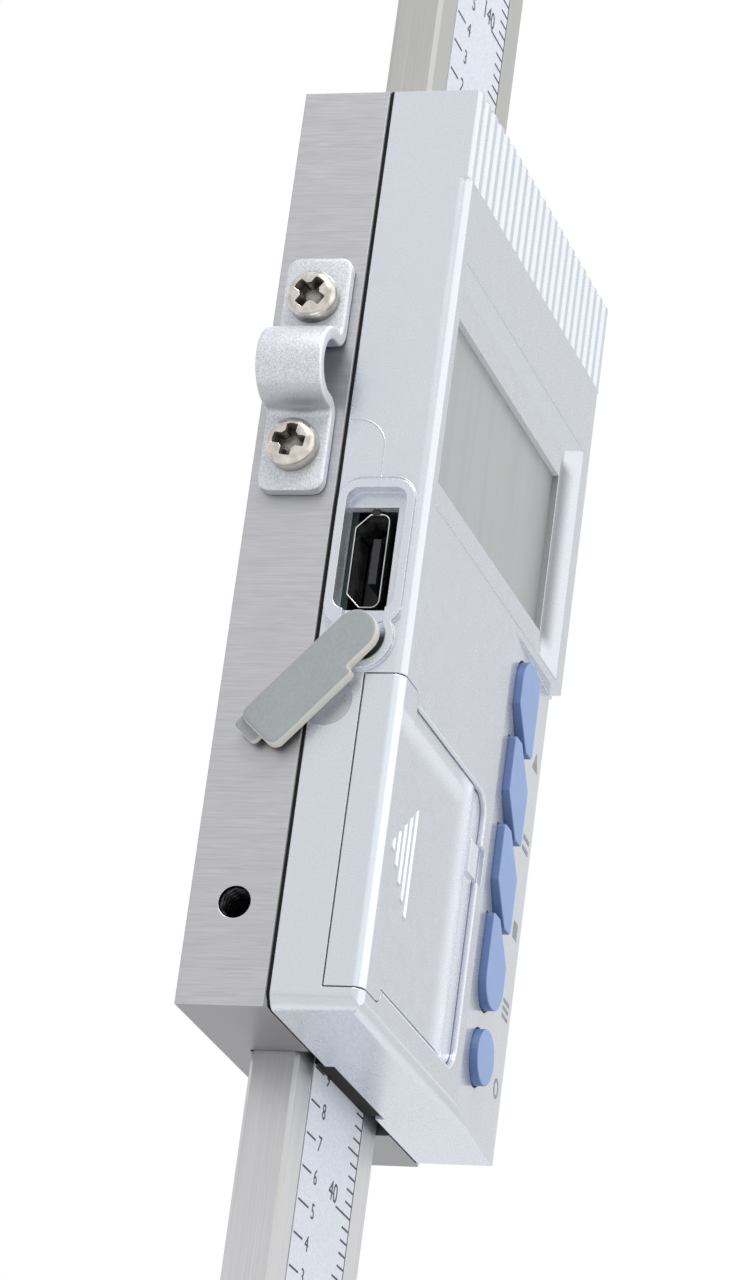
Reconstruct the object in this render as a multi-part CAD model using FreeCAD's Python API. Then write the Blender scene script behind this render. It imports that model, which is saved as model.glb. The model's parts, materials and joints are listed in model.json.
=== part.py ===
import FreeCAD, Part
import math
import os

# Digital linear scale: a readout head that slides on a graduated steel beam.
# Millimetres. +Z runs up the beam, the display faces -Y, +X is to the right of the display.
# The origin is the middle of the lower pair of beam bolts, on the back face of the beam.

Vector = FreeCAD.Vector

# Beam
beam_width = 20.0
beam_thickness = 3.8
beam_edge_chamfer = 0.3
bolt_hole_radius = 2.15
bolt_hole_spacing = 12.0
beam_end_margin = 8.0
top_end_room = 12.0
strip_end_gap = 10.0

# Graduated strip let into the front of the beam
strip_width = 12.9
strip_thickness = 0.6
label_width = 12.5
label_thickness = 0.15
strip_fit = 0.05

# Travel of the head on the beam
zero_mark_height = 22.0
rest_reading = 48.1
travel = 150.0

# Stop pins at the ends of the travel
stop_radius = 1.0
stop_fit = 0.02
stop_rise = 1.3
stop_edge_distance = 2.0
stop_gap = 0.3

# Steel slider block
head_length = 74.0
left_wall = 10.5
right_wall = 9.0
block_depth = 7.0
front_gap = 0.75
slide_fit = 0.06
block_edge_chamfer = 0.2
gib_thickness = 0.8
gib_length = 66.0
gib_screw_radius = 1.25
gib_screw_fit = 0.05
gib_screw_length = 5.0
gib_screw_inset = 18.0

# Tapped holes of the block
tapped_radius = 1.25
back_hole_spacing_x = 29.5
back_hole_spacing_z = 46.0
back_hole_depth = 5.0
side_hole_height = 7.9
side_hole_depth = 8.0

# Gasket and moulded front case
gasket_thickness = 0.17
gasket_width = 1.3
case_depth = 7.15
case_corner_radius = 1.2
case_edge_radius = 0.9
side_wall = 1.5
end_wall = 1.6
front_wall = 1.75
board_space = 1.33

# Tilted button panel
panel_left = 25.0
panel_height = 39.5
panel_drop = 1.0
panel_step_radius = 1.0

# Ribbed thumb band across the top of the case
band_height = 7.4
rib_count = 22
rib_radius = 2.1
rib_root = 0.8

# Display: a sloped dish around the window
dish_left = 1.9
dish_right_margin = 2.6
dish_bottom = 40.2
dish_top = 60.3
dish_depth = 0.45
dish_slope_left = 0.7
dish_slope_right = 3.6
dish_slope_bottom = 0.7
dish_slope_top = 1.6
window_left = 3.0
window_right_margin = 6.9
window_bottom = 42.6
window_top = 56.2
lens_overlap = 1.0
lens_thickness = 0.8
lcd_overlap = 0.8
display_right_overlap = 2.6
lcd_ledge = 2.4
lcd_thickness = 1.8
connector_strip_width = 1.5

# Boards
board_thickness = 0.8
board_clearance = 0.5
board_gap = 0.05
sensor_width = 14.0
sensor_length = 52.0
sensor_gap = 0.2
post_half = 1.5
peg_half = 0.7
peg_rise = 0.3
post_right_inset = 3.9
post_heights = (20.0, 63.0)

# Case screws, from the back of the block into the case
case_screw_radius = 1.0
case_screw_fit = 0.1
case_screw_head_radius = 1.9
case_screw_head_height = 1.2
case_screw_sink = 1.5
case_screw_inset_x = 4.6
case_screw_inset_z = 3.4
case_screw_reach = 3.0
case_boss_half = 1.9

# Wipers in the end walls of the case
wiper_width = 12.8
wiper_depth = 0.7
wiper_thickness = 1.2
wiper_inset = 0.25
wiper_fit = 0.1
wiper_gap = 0.05

# Battery and its sliding door
cell_radius = 10.0
cell_thickness = 3.2
cell_fit = 0.2
cell_center_x = 11.6
leaf_thickness = 0.2
leaf_width = 4.0
tray_floor = 0.4
tray_wall = 0.75
door_right = 23.0
door_bottom = 2.9
door_ring_gap = 0.25
door_shoulder_length = 4.0
door_shoulder_rise = 1.15
door_shoulder_corner = 0.8
door_side_depth = 4.15
door_side_thickness = 1.2
door_plate_back = 5.6
door_rail_front = 6.6
door_rail_reach = 0.6
door_fit = 0.13
door_rim_drop = 0.4
door_rim_width = 2.0
door_top_drop = 0.2
door_crown_slope = 2.0
door_crown_radius = 18.0
door_corner_radius = 1.6
grip_bar_count = 5
grip_bar_pitch = 1.1
grip_bar_half = 0.22
grip_bar_rise = 0.13
grip_apex_x = 2.1
grip_length = 9.4
latch_drop = 5.3
latch_width = 2.6
latch_sink = 0.13

# Push buttons
long_key_count = 4
button_left = 26.9
button_width = 4.7
button_rise = 0.85
button_pitch = 7.3
button_length = 7.65
button_first_bottom = 9.3
button_slant = 3.0
button_slant_width = 1.7
button_corner_radius = 0.35
button_end_radius = 2.2
button_end_trim = 0.5
round_button_radius = 2.2
round_button_height = 5.9
button_travel = 0.5
button_fit = 0.15
button_flange = 0.5
button_flange_height = 5.6
button_flange_thickness = 0.6
button_stem_half = 1.2
switch_half = 1.8
switch_height = 0.9
press_gap = 0.1

# Port and its swinging cover, on the left side of the case
rim_rise = 0.4
rim_back = 0.3
rim_front = 6.3
rim_height = 11.7
rim_window_gap = 1.3
rim_corner_radius = 1.6
rim_width = 0.65
port_floor = 0.6
port_opening_front = 4.85
port_opening_height = 8.3
port_opening_drop = 1.9
pivot_depth = 3.45
pivot_drop = 0.95
lug_radius = 1.65
hinge_recess_radius = 1.9
cover_gap = 0.1
cover_thickness = 1.2
cover_reach = 10.4
cover_back_width = 2.3
cover_front_width = 1.6
cover_corner_radius = 0.8
cover_shoulder = 2.3
cover_lip_length = 0.8
cover_lip_width = 2.3
cover_lip_thickness = 0.7
cover_open_angle = 138.6
stem_radius = 0.8
stem_fit = 0.05
bead_radius = 1.15
bead_length = 0.7
dimple_radius = 1.95
dimple_depth = 0.4
dimple_back = 1.4
dimple_drop = 4.9

# Micro connector behind the port
shell_height = 2.7
shell_width = 7.6
shell_wall = 0.18
shell_bevel = 1.1
shell_corner_radius = 0.7
shell_inset = 0.95
shell_length = 5.0
tongue_inset = 0.56
tongue_thickness = 0.6
tongue_width = 3.6

# Cable clip on the left side of the block
clip_thickness = 1.05
clip_width = 5.2
clip_length = 19.3
clip_height = 49.75
clip_inner_radius = 2.05
clip_bend_radius = 0.6
clip_corner_radius = 1.0
clip_hole_radius = 1.15
clip_screw_spacing = 12.2
clip_screw_radius = 1.0
clip_screw_head_radius = 2.0
clip_screw_head_height = 1.5
clip_screw_length = 4.0
clip_screw_fit = 0.05

# Values worked out from those above
head_width = left_wall + beam_width + right_wall
beam_middle = left_wall + beam_width / 2
beam_front = front_gap
beam_back = front_gap + beam_thickness
block_middle = block_depth / 2
head_bottom = zero_mark_height + rest_reading
bolt_row_span = zero_mark_height + travel + head_length + top_end_room
case_back = -gasket_thickness
case_front = -case_depth
inner_front = case_front + front_wall
board_back = case_back - (board_space - board_gap - board_thickness)
board_front = board_back - board_thickness
tray_back = board_front - board_gap
cell_floor = tray_back - tray_floor
window_right = head_width - window_right_margin
panel_slope = panel_drop / (head_width - panel_left)
rim_top = window_bottom - rim_window_gap
rim_bottom = rim_top - rim_height
port_opening_back = rim_back + rim_width
port_opening_top = rim_top - port_opening_drop
port_opening_bottom = port_opening_top - port_opening_height
pivot_height = rim_bottom - pivot_drop
dimple_height = pivot_height - dimple_drop
door_top = pivot_height - hinge_recess_radius - rim_width - door_ring_gap - door_shoulder_rise
cell_center_z = (door_bottom + door_top) / 2
latch_height = door_top - latch_drop
band_bottom = head_length - band_height

# Directions, and planes well outside the case that cuts start from
rightward = Vector(1, 0, 0)
backward = Vector(0, 1, 0)
upward = Vector(0, 0, 1)
far_front = 2 * case_front
far_left = -side_wall
same_point = 0.000001


def box(x0, x1, y0, y1, z0, z1):
    """Box between two values on each axis."""
    return Part.makeBox(x1 - x0, y1 - y0, z1 - z0, Vector(x0, y0, z0))


def cylinder(center, direction, radius, length):
    """Round bar that starts at center and runs along direction."""
    return Part.makeCylinder(radius, length, center, direction)


def square_column(x, z, half, y0, y1):
    """Square bar from y0 to y1 around a place on the front."""
    return box(x - half, x + half, y0, y1, z - half, z + half)


def rounded_face(corners, place):
    """Flat face whose corners (u, v, radius) are rounded by tangent arcs; place maps u, v to space."""
    count = len(corners)
    stretches = []
    for index in range(count):
        before = Vector(*corners[index - 1][:2], 0)
        here = Vector(*corners[index][:2], 0)
        after = Vector(*corners[(index + 1) % count][:2], 0)
        radius = corners[index][2]
        if radius == 0:
            stretches.append((here, None, here))
            continue
        into = (before - here).normalize()
        out = (after - here).normalize()
        half = into.getAngle(out) / 2
        reach = radius / math.tan(half)
        middle = here + (into + out).normalize() * (radius / math.sin(half) - radius)
        stretches.append((here + into * reach, middle, here + out * reach))
    edges = []
    for index, (start, middle, end) in enumerate(stretches):
        if middle is not None:
            edges.append(Part.Arc(place(start), place(middle), place(end)).toShape())
        following = stretches[(index + 1) % count][0]
        if (following - end).Length > same_point:
            edges.append(Part.LineSegment(place(end), place(following)).toShape())
    return Part.Face(Part.Wire(edges))


def front_prism(corners, y0, y1):
    """Outline seen from the front, in X and Z, carried from y0 to y1."""
    face = rounded_face(corners, lambda p: Vector(p.x, y0, p.y))
    return face.extrude(Vector(0, y1 - y0, 0))


def side_prism(corners, x0, x1):
    """Outline seen from the side, in Y and Z, carried from x0 to x1."""
    face = rounded_face(corners, lambda p: Vector(x0, p.x, p.y))
    return face.extrude(Vector(x1 - x0, 0, 0))


def plan_prism(corners, z0, z1):
    """Outline seen from above, in X and Y, carried from z0 to z1."""
    face = rounded_face(corners, lambda p: Vector(p.x, p.y, z0))
    return face.extrude(Vector(0, 0, z1 - z0))


def rectangle(u0, u1, v0, v1, radius=0):
    """Corners of a rectangle with one radius."""
    return [(u0, v0, radius), (u1, v0, radius), (u1, v1, radius), (u0, v1, radius)]


def grown(corners, amount):
    """The same counter-clockwise outline moved outward by amount; sharp corners stay sharp."""
    count = len(corners)
    result = []
    for index in range(count):
        before = Vector(*corners[index - 1][:2], 0)
        here = Vector(*corners[index][:2], 0)
        after = Vector(*corners[(index + 1) % count][:2], 0)
        first = (here - before).normalize()
        second = (after - here).normalize()
        normal = Vector(first.y + second.y, -first.x - second.x, 0).normalize()
        reach = amount / (normal.x * first.y - normal.y * first.x)
        moved = here + normal * reach
        radius = corners[index][2]
        result.append((moved.x, moved.y, radius + amount if radius else 0))
    return result


def lathe(profile, center, direction):
    """Solid of revolution from (radius, height) points, standing on center along direction."""
    points = [Vector(radius, 0, height) for radius, height in profile]
    face = Part.Face(Part.makePolygon(points + points[:1]))
    solid = face.revolve(Vector(0, 0, 0), upward, 360)
    solid.Placement = FreeCAD.Placement(center, FreeCAD.Rotation(upward, direction))
    return solid


def fuse(*shapes):
    """One solid from touching shapes."""
    return shapes[0].multiFuse(list(shapes[1:])).removeSplitter()


def seat_head(shape):
    """Move a shape from the head's own frame to the rest place on the beam.

    In the head's frame x starts at the left face, y at the parting plane and z at the lower end.
    """
    placed = shape.copy()
    placed.translate(Vector(-beam_middle, -beam_back, head_bottom))
    return placed


def save(name, shape):
    """Write one sub-part."""
    shape.exportStep("parts/" + name + ".step")


# Beam body: the bar, the coded strip let into it, its printed face and the stop pins

beam_bottom = -beam_end_margin
beam_top = bolt_row_span + beam_end_margin
strip_bottom = strip_end_gap
strip_top = bolt_row_span - strip_end_gap
groove_floor = strip_thickness + label_thickness - beam_thickness
stop_x = beam_width / 2 - stop_edge_distance
low_stop_z = zero_mark_height - stop_gap - stop_radius
high_stop_z = zero_mark_height + travel + head_length + stop_gap + stop_radius


def make_beam():
    half = beam_width / 2
    c = beam_edge_chamfer
    t = beam_thickness
    outline = [(-half, -c), (-half, c - t), (c - half, -t), (half - c, -t),
               (half, c - t), (half, -c), (half - c, 0), (c - half, 0)]
    bar = plan_prism([(x, y, 0) for x, y in outline], beam_bottom, beam_top)
    groove = strip_width / 2 + strip_fit
    cuts = [box(-groove, groove, -t, groove_floor, strip_bottom - strip_fit, strip_top + strip_fit)]
    for z in (0, bolt_row_span):
        for x in (-bolt_hole_spacing / 2, bolt_hole_spacing / 2):
            cuts.append(cylinder(Vector(x, -t, z), backward, bolt_hole_radius, t))
    for z in (low_stop_z, high_stop_z):
        cuts.append(cylinder(Vector(stop_x, -t, z), backward, stop_radius + stop_fit, t))
    return bar.cut(cuts)


def make_scale_strip():
    half = strip_width / 2
    return box(-half, half, groove_floor - strip_thickness, groove_floor, strip_bottom, strip_top)


def make_scale_label():
    half = label_width / 2
    return box(-half, half, -beam_thickness, label_thickness - beam_thickness, strip_bottom, strip_top)


def make_stop_pins():
    pins = []
    for z in (low_stop_z, high_stop_z):
        pins.append(cylinder(Vector(stop_x, 0, z), -backward, stop_radius, beam_thickness + stop_rise))
    return Part.makeCompound(pins)


# Slider block: a steel channel that the beam runs through, with a gib on the right of the beam

channel_left = left_wall - slide_fit
channel_right = left_wall + beam_width + gib_thickness + 2 * slide_fit
channel_back = beam_back + slide_fit
gib_bottom = (head_length - gib_length) / 2
gib_screw_heights = (gib_screw_inset, head_length - gib_screw_inset)
case_screw_places = [(x, z) for x in (case_screw_inset_x, head_width - case_screw_inset_x)
                     for z in (case_screw_inset_z, head_length - case_screw_inset_z)]
clip_screw_heights = (clip_height - clip_screw_spacing / 2, clip_height + clip_screw_spacing / 2)


def make_slider_block():
    c = block_edge_chamfer
    outline = [(0, c, 0), (c, 0, 0), (channel_left, 0, 0), (channel_left, channel_back, 0),
               (channel_right, channel_back, 0), (channel_right, 0, 0), (head_width - c, 0, 0),
               (head_width, c, 0), (head_width, block_depth, 0), (0, block_depth, 0)]
    block = plan_prism(outline, 0, head_length)
    cuts = []
    for x, z in case_screw_places:
        start = Vector(x, 0, z)
        seat = Vector(x, block_depth - case_screw_sink, z)
        cuts.append(cylinder(start, backward, case_screw_radius + case_screw_fit, block_depth))
        cuts.append(cylinder(seat, backward, case_screw_head_radius + case_screw_fit, case_screw_sink))
    for x in (beam_middle - back_hole_spacing_x / 2, beam_middle + back_hole_spacing_x / 2):
        for z in ((head_length - back_hole_spacing_z) / 2, (head_length + back_hole_spacing_z) / 2):
            cuts.append(cylinder(Vector(x, block_depth, z), -backward, tapped_radius, back_hole_depth))
    side_hole = Vector(0, block_middle, side_hole_height)
    cuts.append(cylinder(side_hole, rightward, tapped_radius, side_hole_depth))
    for z in clip_screw_heights:
        hole = Vector(0, block_middle, z)
        cuts.append(cylinder(hole, rightward, clip_screw_radius + clip_screw_fit, clip_screw_length))
    for z in gib_screw_heights:
        hole = Vector(channel_right, beam_front + beam_thickness / 2, z)
        cuts.append(cylinder(hole, rightward, gib_screw_radius + gib_screw_fit, head_width - channel_right))
    return block.cut(cuts)


def make_gib_strip():
    left = left_wall + beam_width + slide_fit
    return box(left, left + gib_thickness, beam_front, beam_back, gib_bottom, gib_bottom + gib_length)


def make_gib_screws():
    screws = []
    for z in gib_screw_heights:
        start = Vector(channel_right - slide_fit, beam_front + beam_thickness / 2, z)
        screws.append(cylinder(start, rightward, gib_screw_radius, gib_screw_length))
    return Part.makeCompound(screws)


# Moulded front case

case_outline = [(0, 0, case_corner_radius), (head_width, 0, case_corner_radius),
                (head_width, head_length, 0), (0, head_length, 0)]


def panel_depth(x):
    """Y of the tilted button panel at a place across the case."""
    return case_front + panel_slope * (x - panel_left)


def make_case_body():
    """Outer form: a display slab and, below it, a slab with a tilted button panel, with rounded edges."""
    r = case_edge_radius
    edge = panel_depth(head_width)
    high_plan = [(0, case_back, 0), (0, case_front, r),
                 (head_width, case_front, r), (head_width, case_back, 0)]
    low_plan = [(0, case_back, 0), (0, case_front, r), (panel_left, case_front, 0),
                (head_width, edge, r), (head_width, case_back, 0)]
    display_slab = plan_prism(high_plan, panel_height, head_length)
    button_slab = plan_prism(low_plan, 0, panel_height)
    turn = Vector(head_width - panel_step_radius, case_front, panel_height + panel_step_radius)
    corner = box(turn.x, head_width, case_front, edge, panel_height, turn.z)
    corner = corner.cut(cylinder(turn, backward, panel_step_radius, case_depth))
    body = fuse(display_slab.cut(corner), button_slab)
    side_outline = [(case_back, 0, 0), (case_back, head_length, 0),
                    (case_front, head_length, 0), (case_front, 0, r)]
    body = body.common(side_prism(side_outline, 0, head_width))
    return body.common(front_prism(case_outline, case_back, case_front))


def make_rib_band():
    """Round thumb ribs that run up the case, side by side and trimmed by its two sides."""
    pitch = head_width / rib_count
    center_y = case_front + rib_radius
    ribs = []
    for k in range(rib_count):
        foot = Vector(k * pitch + pitch / 2, center_y, band_bottom)
        ribs.append(cylinder(foot, upward, rib_radius, band_height))
    room = box(0, head_width, case_front, case_front + rib_root, band_bottom, head_length)
    return ribs[0].multiFuse(ribs[1:]).common(room)


def port_pocket_outline():
    """Inside of the rim, in Y and Z."""
    return rectangle(-rim_front + rim_width, -rim_back - rim_width,
                     rim_bottom + 2 * rim_width, rim_top - rim_width, rim_corner_radius - rim_width)


def pivot_disc(radius, x0, x1):
    """Round bar on the pivot line of the port cover."""
    return cylinder(Vector(x0, -pivot_depth, pivot_height), rightward, radius, x1 - x0)


def make_port_rim():
    """Raised rim around the port; its lower end narrows to a ring around the cover's pivot."""
    outline = rectangle(-rim_front, -rim_back, rim_bottom, rim_top, rim_corner_radius)
    field = side_prism(outline, -rim_rise, side_wall)
    return fuse(field, pivot_disc(hinge_recess_radius + rim_width, -rim_rise, side_wall))


def make_port_cuts():
    """Pocket that the closed cover covers, its hinge recess, the connector opening and the stem's hole."""
    pocket = side_prism(port_pocket_outline(), -2 * rim_rise, port_floor)
    recess = pivot_disc(hinge_recess_radius, -2 * rim_rise, port_floor)
    neck = box(-2 * rim_rise, port_floor, -pivot_depth - lug_radius, -pivot_depth + lug_radius,
               pivot_height, rim_bottom + 3 * rim_width)
    opening = box(0, 2 * side_wall, -port_opening_front, -port_opening_back,
                  port_opening_bottom, port_opening_top)
    stem_hole = pivot_disc(stem_radius + stem_fit, 0, 2 * side_wall)
    return [pocket, recess, neck, opening, stem_hole]


def make_dish():
    """Shallow pan around the window, with sloped sides."""
    right = head_width - dish_right_margin
    outer = rectangle(dish_left, right, dish_bottom, dish_top)
    inner = rectangle(dish_left + dish_slope_left, right - dish_slope_right,
                      dish_bottom + dish_slope_bottom, dish_top - dish_slope_top)
    wires = []
    for corners, y in ((outer, case_front), (inner, case_front + dish_depth)):
        wires.append(rounded_face(corners, lambda p: Vector(p.x, y, p.y)).OuterWire)
    return Part.makeLoft(wires, True, True)


def make_case_cavity():
    """Room for the boards, the display and the keys; the battery tray beside it stays solid."""
    left = side_wall
    right = head_width - side_wall
    low = end_wall
    high = head_length - end_wall
    tray_top = door_top + door_shoulder_rise + tray_wall
    key_left = door_right + door_rail_reach + tray_wall
    return [box(left, right, tray_back, case_back, low, high),
            box(left, right, inner_front, tray_back, tray_top, high),
            box(key_left, right, inner_front, tray_back, low, tray_top)]


def key_outline(index, soft):
    """Outline of one long key, counter-clockwise from its lower left, with soft as its small corner radius.

    The slanted sides leave room for the key above and the key below.
    The lowest key has a round lower end and the highest a round upper end.
    """
    low = button_first_bottom + index * button_pitch
    high = low + button_length
    left = button_left
    right = button_left + button_width
    end = button_end_radius
    lower = [(left, low + button_slant, soft), (right - button_slant_width, low, soft), (right, low, soft)]
    upper = [(right, high - button_slant, soft), (left + button_slant_width, high, soft), (left, high, soft)]
    if index == 0:
        lower = [(left, low + button_end_trim, end), (right, low + button_end_trim, end)]
    if index == long_key_count - 1:
        upper = [(right, high - button_end_trim, end), (left, high - button_end_trim, end)]
    return lower + upper


def round_key_bar(y0, y1, radius):
    """Round bar from y0 to y1 at the place of the round key, which has index -1."""
    return cylinder(Vector(button_middle, y0, round_button_height), backward, radius, y1 - y0)


def make_key_hole(index):
    """Hole for one key, with a fit all round and sharp small corners."""
    if index < 0:
        return round_key_bar(far_front, inner_front, round_button_radius + button_fit)
    return front_prism(grown(key_outline(index, 0), button_fit), far_front, inner_front)


key_indices = range(-1, long_key_count)
button_middle = button_left + button_width / 2
button_centers = [(button_middle, round_button_height)]
for index in range(long_key_count):
    button_centers.append((button_middle, button_first_bottom + index * button_pitch + button_length / 2))


def door_way(right, rise, corner):
    """Outline from outside the case to right, a rise beyond the door at each end, with two round corners."""
    low = door_bottom - rise
    high = door_top + rise
    return [(far_left, low, 0), (right, low, corner), (right, high, corner), (far_left, high, 0)]


def make_door_cuts():
    """Corner opening for the battery door, the slots for its rails, and the round cell pocket."""
    gap = door_fit
    floor = gap - door_plate_back
    plate = front_prism(door_way(door_right + gap, gap, door_corner_radius + gap), far_front, floor)
    reach = door_rail_reach + gap
    rails = box(far_left, door_right + reach, -door_rail_front - gap, floor,
                door_bottom - reach, door_top + reach)
    rise = door_shoulder_rise + gap
    shoulder = front_prism(door_way(door_shoulder_length + gap, rise, door_shoulder_corner + gap),
                           far_front, floor)
    side = box(far_left, door_side_thickness + gap, far_front, gap - door_side_depth,
               door_bottom - rise, door_top + rise)
    pocket_radius = cell_radius + cell_fit
    pocket = Vector(cell_center_x, cell_floor, cell_center_z)
    cell = cylinder(pocket, -backward, pocket_radius, case_depth)
    clip_half = leaf_width + cell_fit
    clip_slot = box(cell_center_x, cell_center_x + pocket_radius + 3 * leaf_thickness, floor, cell_floor,
                    cell_center_z - clip_half, cell_center_z + clip_half)
    notch_half = latch_width / 2 + gap
    notch = box(door_right, door_right + 2 * door_rail_reach, far_front, case_front + door_rim_drop,
                latch_height - notch_half, latch_height + notch_half)
    return [plate, rails, shoulder, side, cell, clip_slot, notch]


post_places = [(head_width - post_right_inset, z) for z in post_heights]
wiper_places = (wiper_inset, head_length - wiper_inset - wiper_thickness)


def make_front_case():
    case = make_case_body()
    band_room = box(far_left, head_width + side_wall, far_front, case_front + rib_root,
                    band_bottom, head_length)
    case = fuse(case.cut(band_room), make_rib_band(), make_port_rim())
    window = box(window_left, window_right, case_front, inner_front, window_bottom, window_top)
    case = case.cut([make_dish(), window])
    case = case.cut(make_case_cavity())
    column_end = inner_front - front_wall / 2
    columns = []
    cuts = make_port_cuts() + make_door_cuts()
    for x, z in case_screw_places:
        foot = Vector(x, case_back, z)
        columns.append(square_column(x, z, case_boss_half, column_end, case_back))
        cuts.append(cylinder(foot, -backward, case_screw_radius, case_screw_reach))
    for x, z in post_places:
        columns.append(square_column(x, z, post_half, column_end, board_front))
        columns.append(square_column(x, z, peg_half, column_end, board_back + peg_rise))
    case = fuse(case, *columns)
    for index in key_indices:
        cuts.append(make_key_hole(index))
    half = wiper_width / 2 + wiper_fit
    for z in (0, head_length - end_wall):
        cuts.append(box(beam_middle - half, beam_middle + half, case_back - wiper_depth, case_back,
                        z, z + end_wall))
    dimple = Vector(0, -dimple_back, dimple_height)
    cuts.append(cylinder(dimple, rightward, dimple_radius, dimple_depth))
    return case.cut(cuts).removeSplitter()


def make_gasket():
    """Black sealing strip along the rim of the case, left open where the beam passes."""
    outer = front_prism(case_outline, 0, case_back)
    w = gasket_width
    inner = box(w, head_width - w, case_back, 0, w, head_length - w)
    beam_way = box(channel_left, channel_right, case_back, 0, 0, head_length)
    return outer.cut([inner, beam_way])


def make_case_screws():
    tip = -case_screw_reach - gasket_thickness + case_screw_fit
    seat = block_depth - case_screw_sink
    crown = seat + case_screw_head_height
    profile = [(0, tip), (case_screw_radius, tip), (case_screw_radius, seat),
               (case_screw_head_radius, seat), (case_screw_head_radius, crown), (0, crown)]
    screws = []
    for x, z in case_screw_places:
        screws.append(lathe(profile, Vector(x, 0, z), backward))
    return Part.makeCompound(screws)


def make_wiper(z):
    half = wiper_width / 2
    return box(beam_middle - half, beam_middle + half, case_back - wiper_depth, beam_front - wiper_gap,
               z, z + wiper_thickness)


# Boards, display and battery inside the case

def make_main_board():
    edge = side_wall + board_gap
    low = end_wall + board_clearance
    high = head_length - end_wall - board_clearance
    board = box(edge, head_width - edge, board_front, board_back, low, high)
    cuts = []
    for x, z in case_screw_places:
        cuts.append(square_column(x, z, case_boss_half + board_clearance, board_front, board_back))
    for x, z in post_places:
        cuts.append(square_column(x, z, peg_half + board_gap, board_front, board_back))
    return board.cut(cuts)


def make_sensor_board():
    half = sensor_width / 2
    low = (head_length - sensor_length) / 2
    return box(beam_middle - half, beam_middle + half, board_back, beam_front - sensor_gap,
               low, low + sensor_length)


lcd_front = inner_front + lens_thickness
lcd_back = lcd_front + lcd_thickness
lcd_bottom = window_bottom - lcd_ledge


def make_window_lens():
    m = lens_overlap
    return box(window_left - m, window_right + display_right_overlap, inner_front, lcd_front,
               window_bottom - m, window_top + m)


def make_lcd_panel():
    m = lcd_overlap
    return box(window_left - m, window_right + display_right_overlap, lcd_front, lcd_back,
               lcd_bottom, window_top + m)


def make_connector_strip():
    return box(window_left, window_right, lcd_back, board_front,
               lcd_bottom, lcd_bottom + connector_strip_width)


cell_back = cell_floor - leaf_thickness
cell_front = cell_back - cell_thickness


def make_battery_cell():
    """Coin cell, a flat round can."""
    center = Vector(cell_center_x, cell_front, cell_center_z)
    return cylinder(center, backward, cell_radius, cell_thickness)


def make_minus_leaf():
    half = leaf_width / 2
    reach = cell_radius / 2
    return box(cell_center_x - reach, cell_center_x + reach, cell_back, cell_floor,
               cell_center_z - half, cell_center_z + half)


def make_plus_clip():
    """Side contact: an upright blade that bears on the rim of the cell, with a foot on the tray floor."""
    left = cell_center_x + cell_radius + cell_fit / 2
    low = cell_center_z - leaf_width
    high = cell_center_z + leaf_width
    blade = box(left, left + leaf_thickness, cell_front, cell_floor, low, high)
    foot = box(left, left + 3 * leaf_thickness, cell_back, cell_floor, low, high)
    return fuse(blade, foot)


def make_key_switches():
    """Square switches on the board, one under each button."""
    top = board_front - switch_height
    return Part.makeCompound([square_column(x, z, switch_half, top, board_front) for x, z in button_centers])


def make_button(index):
    """Key cap through the panel, its retaining flange behind the panel and a stem over its switch."""
    x, z = button_centers[index + 1]
    crown = panel_depth(x) - button_rise
    flange_front = inner_front + press_gap
    flange_back = flange_front + button_flange_thickness
    if index < 0:
        cap = round_key_bar(crown, flange_back, round_button_radius)
    else:
        cap = front_prism(key_outline(index, button_corner_radius), crown, flange_back)
    half_width = button_width / 2 + button_flange
    half_height = button_flange_height / 2
    flange = box(x - half_width, x + half_width, flange_front, flange_back, z - half_height, z + half_height)
    stem_end = board_front - switch_height - press_gap - button_travel
    stem = square_column(x, z, button_stem_half, flange_back, stem_end)
    return fuse(cap, flange, stem)


# Battery door: an L-shaped cover that slides off to the left

def make_battery_door():
    front = case_front
    rim = case_front + door_rim_drop
    back = -door_plate_back
    rim_left = door_right - door_rim_width
    r = case_edge_radius
    profile = [(door_side_thickness, -door_side_depth, 0), (door_side_thickness, back, 0),
               (door_right, back, 0), (door_right, rim, 0), (rim_left, rim, 0),
               (rim_left - door_crown_slope, front, door_crown_radius), (0, front, r),
               (0, -door_side_depth, 0)]
    low = door_bottom - door_shoulder_rise
    high = door_top + door_shoulder_rise
    whole = plan_prism(profile, low, high)
    corner = door_corner_radius
    soft = door_shoulder_corner
    shape = [(0, low, 0), (door_shoulder_length, low, soft), (door_shoulder_length, door_bottom, 0),
             (door_right, door_bottom, corner), (door_right, door_top, corner),
             (door_shoulder_length, door_top, 0), (door_shoulder_length, high, soft), (0, high, 0)]
    door = whole.common(front_prism(shape, far_front, 0))
    crown_top = door_top - door_crown_slope
    above = high + door_crown_slope
    top_edge = front + door_top_drop
    slope = [(far_front, crown_top, 0), (front, crown_top, 0), (top_edge, door_top, 0),
             (top_edge, above, 0), (far_front, above, 0)]
    door = door.cut(side_prism(slope, door_shoulder_length, door_right + door_rim_width))
    rail = box(door_shoulder_length, door_right + door_rail_reach, -door_rail_front, back,
               door_bottom - door_rail_reach, door_top + door_rail_reach)
    latch = box(rim_left, door_right, front + latch_sink, rim, latch_height - latch_width / 2,
                latch_height + latch_width / 2)
    return fuse(door, rail, latch, *make_grip_bars())


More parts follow.
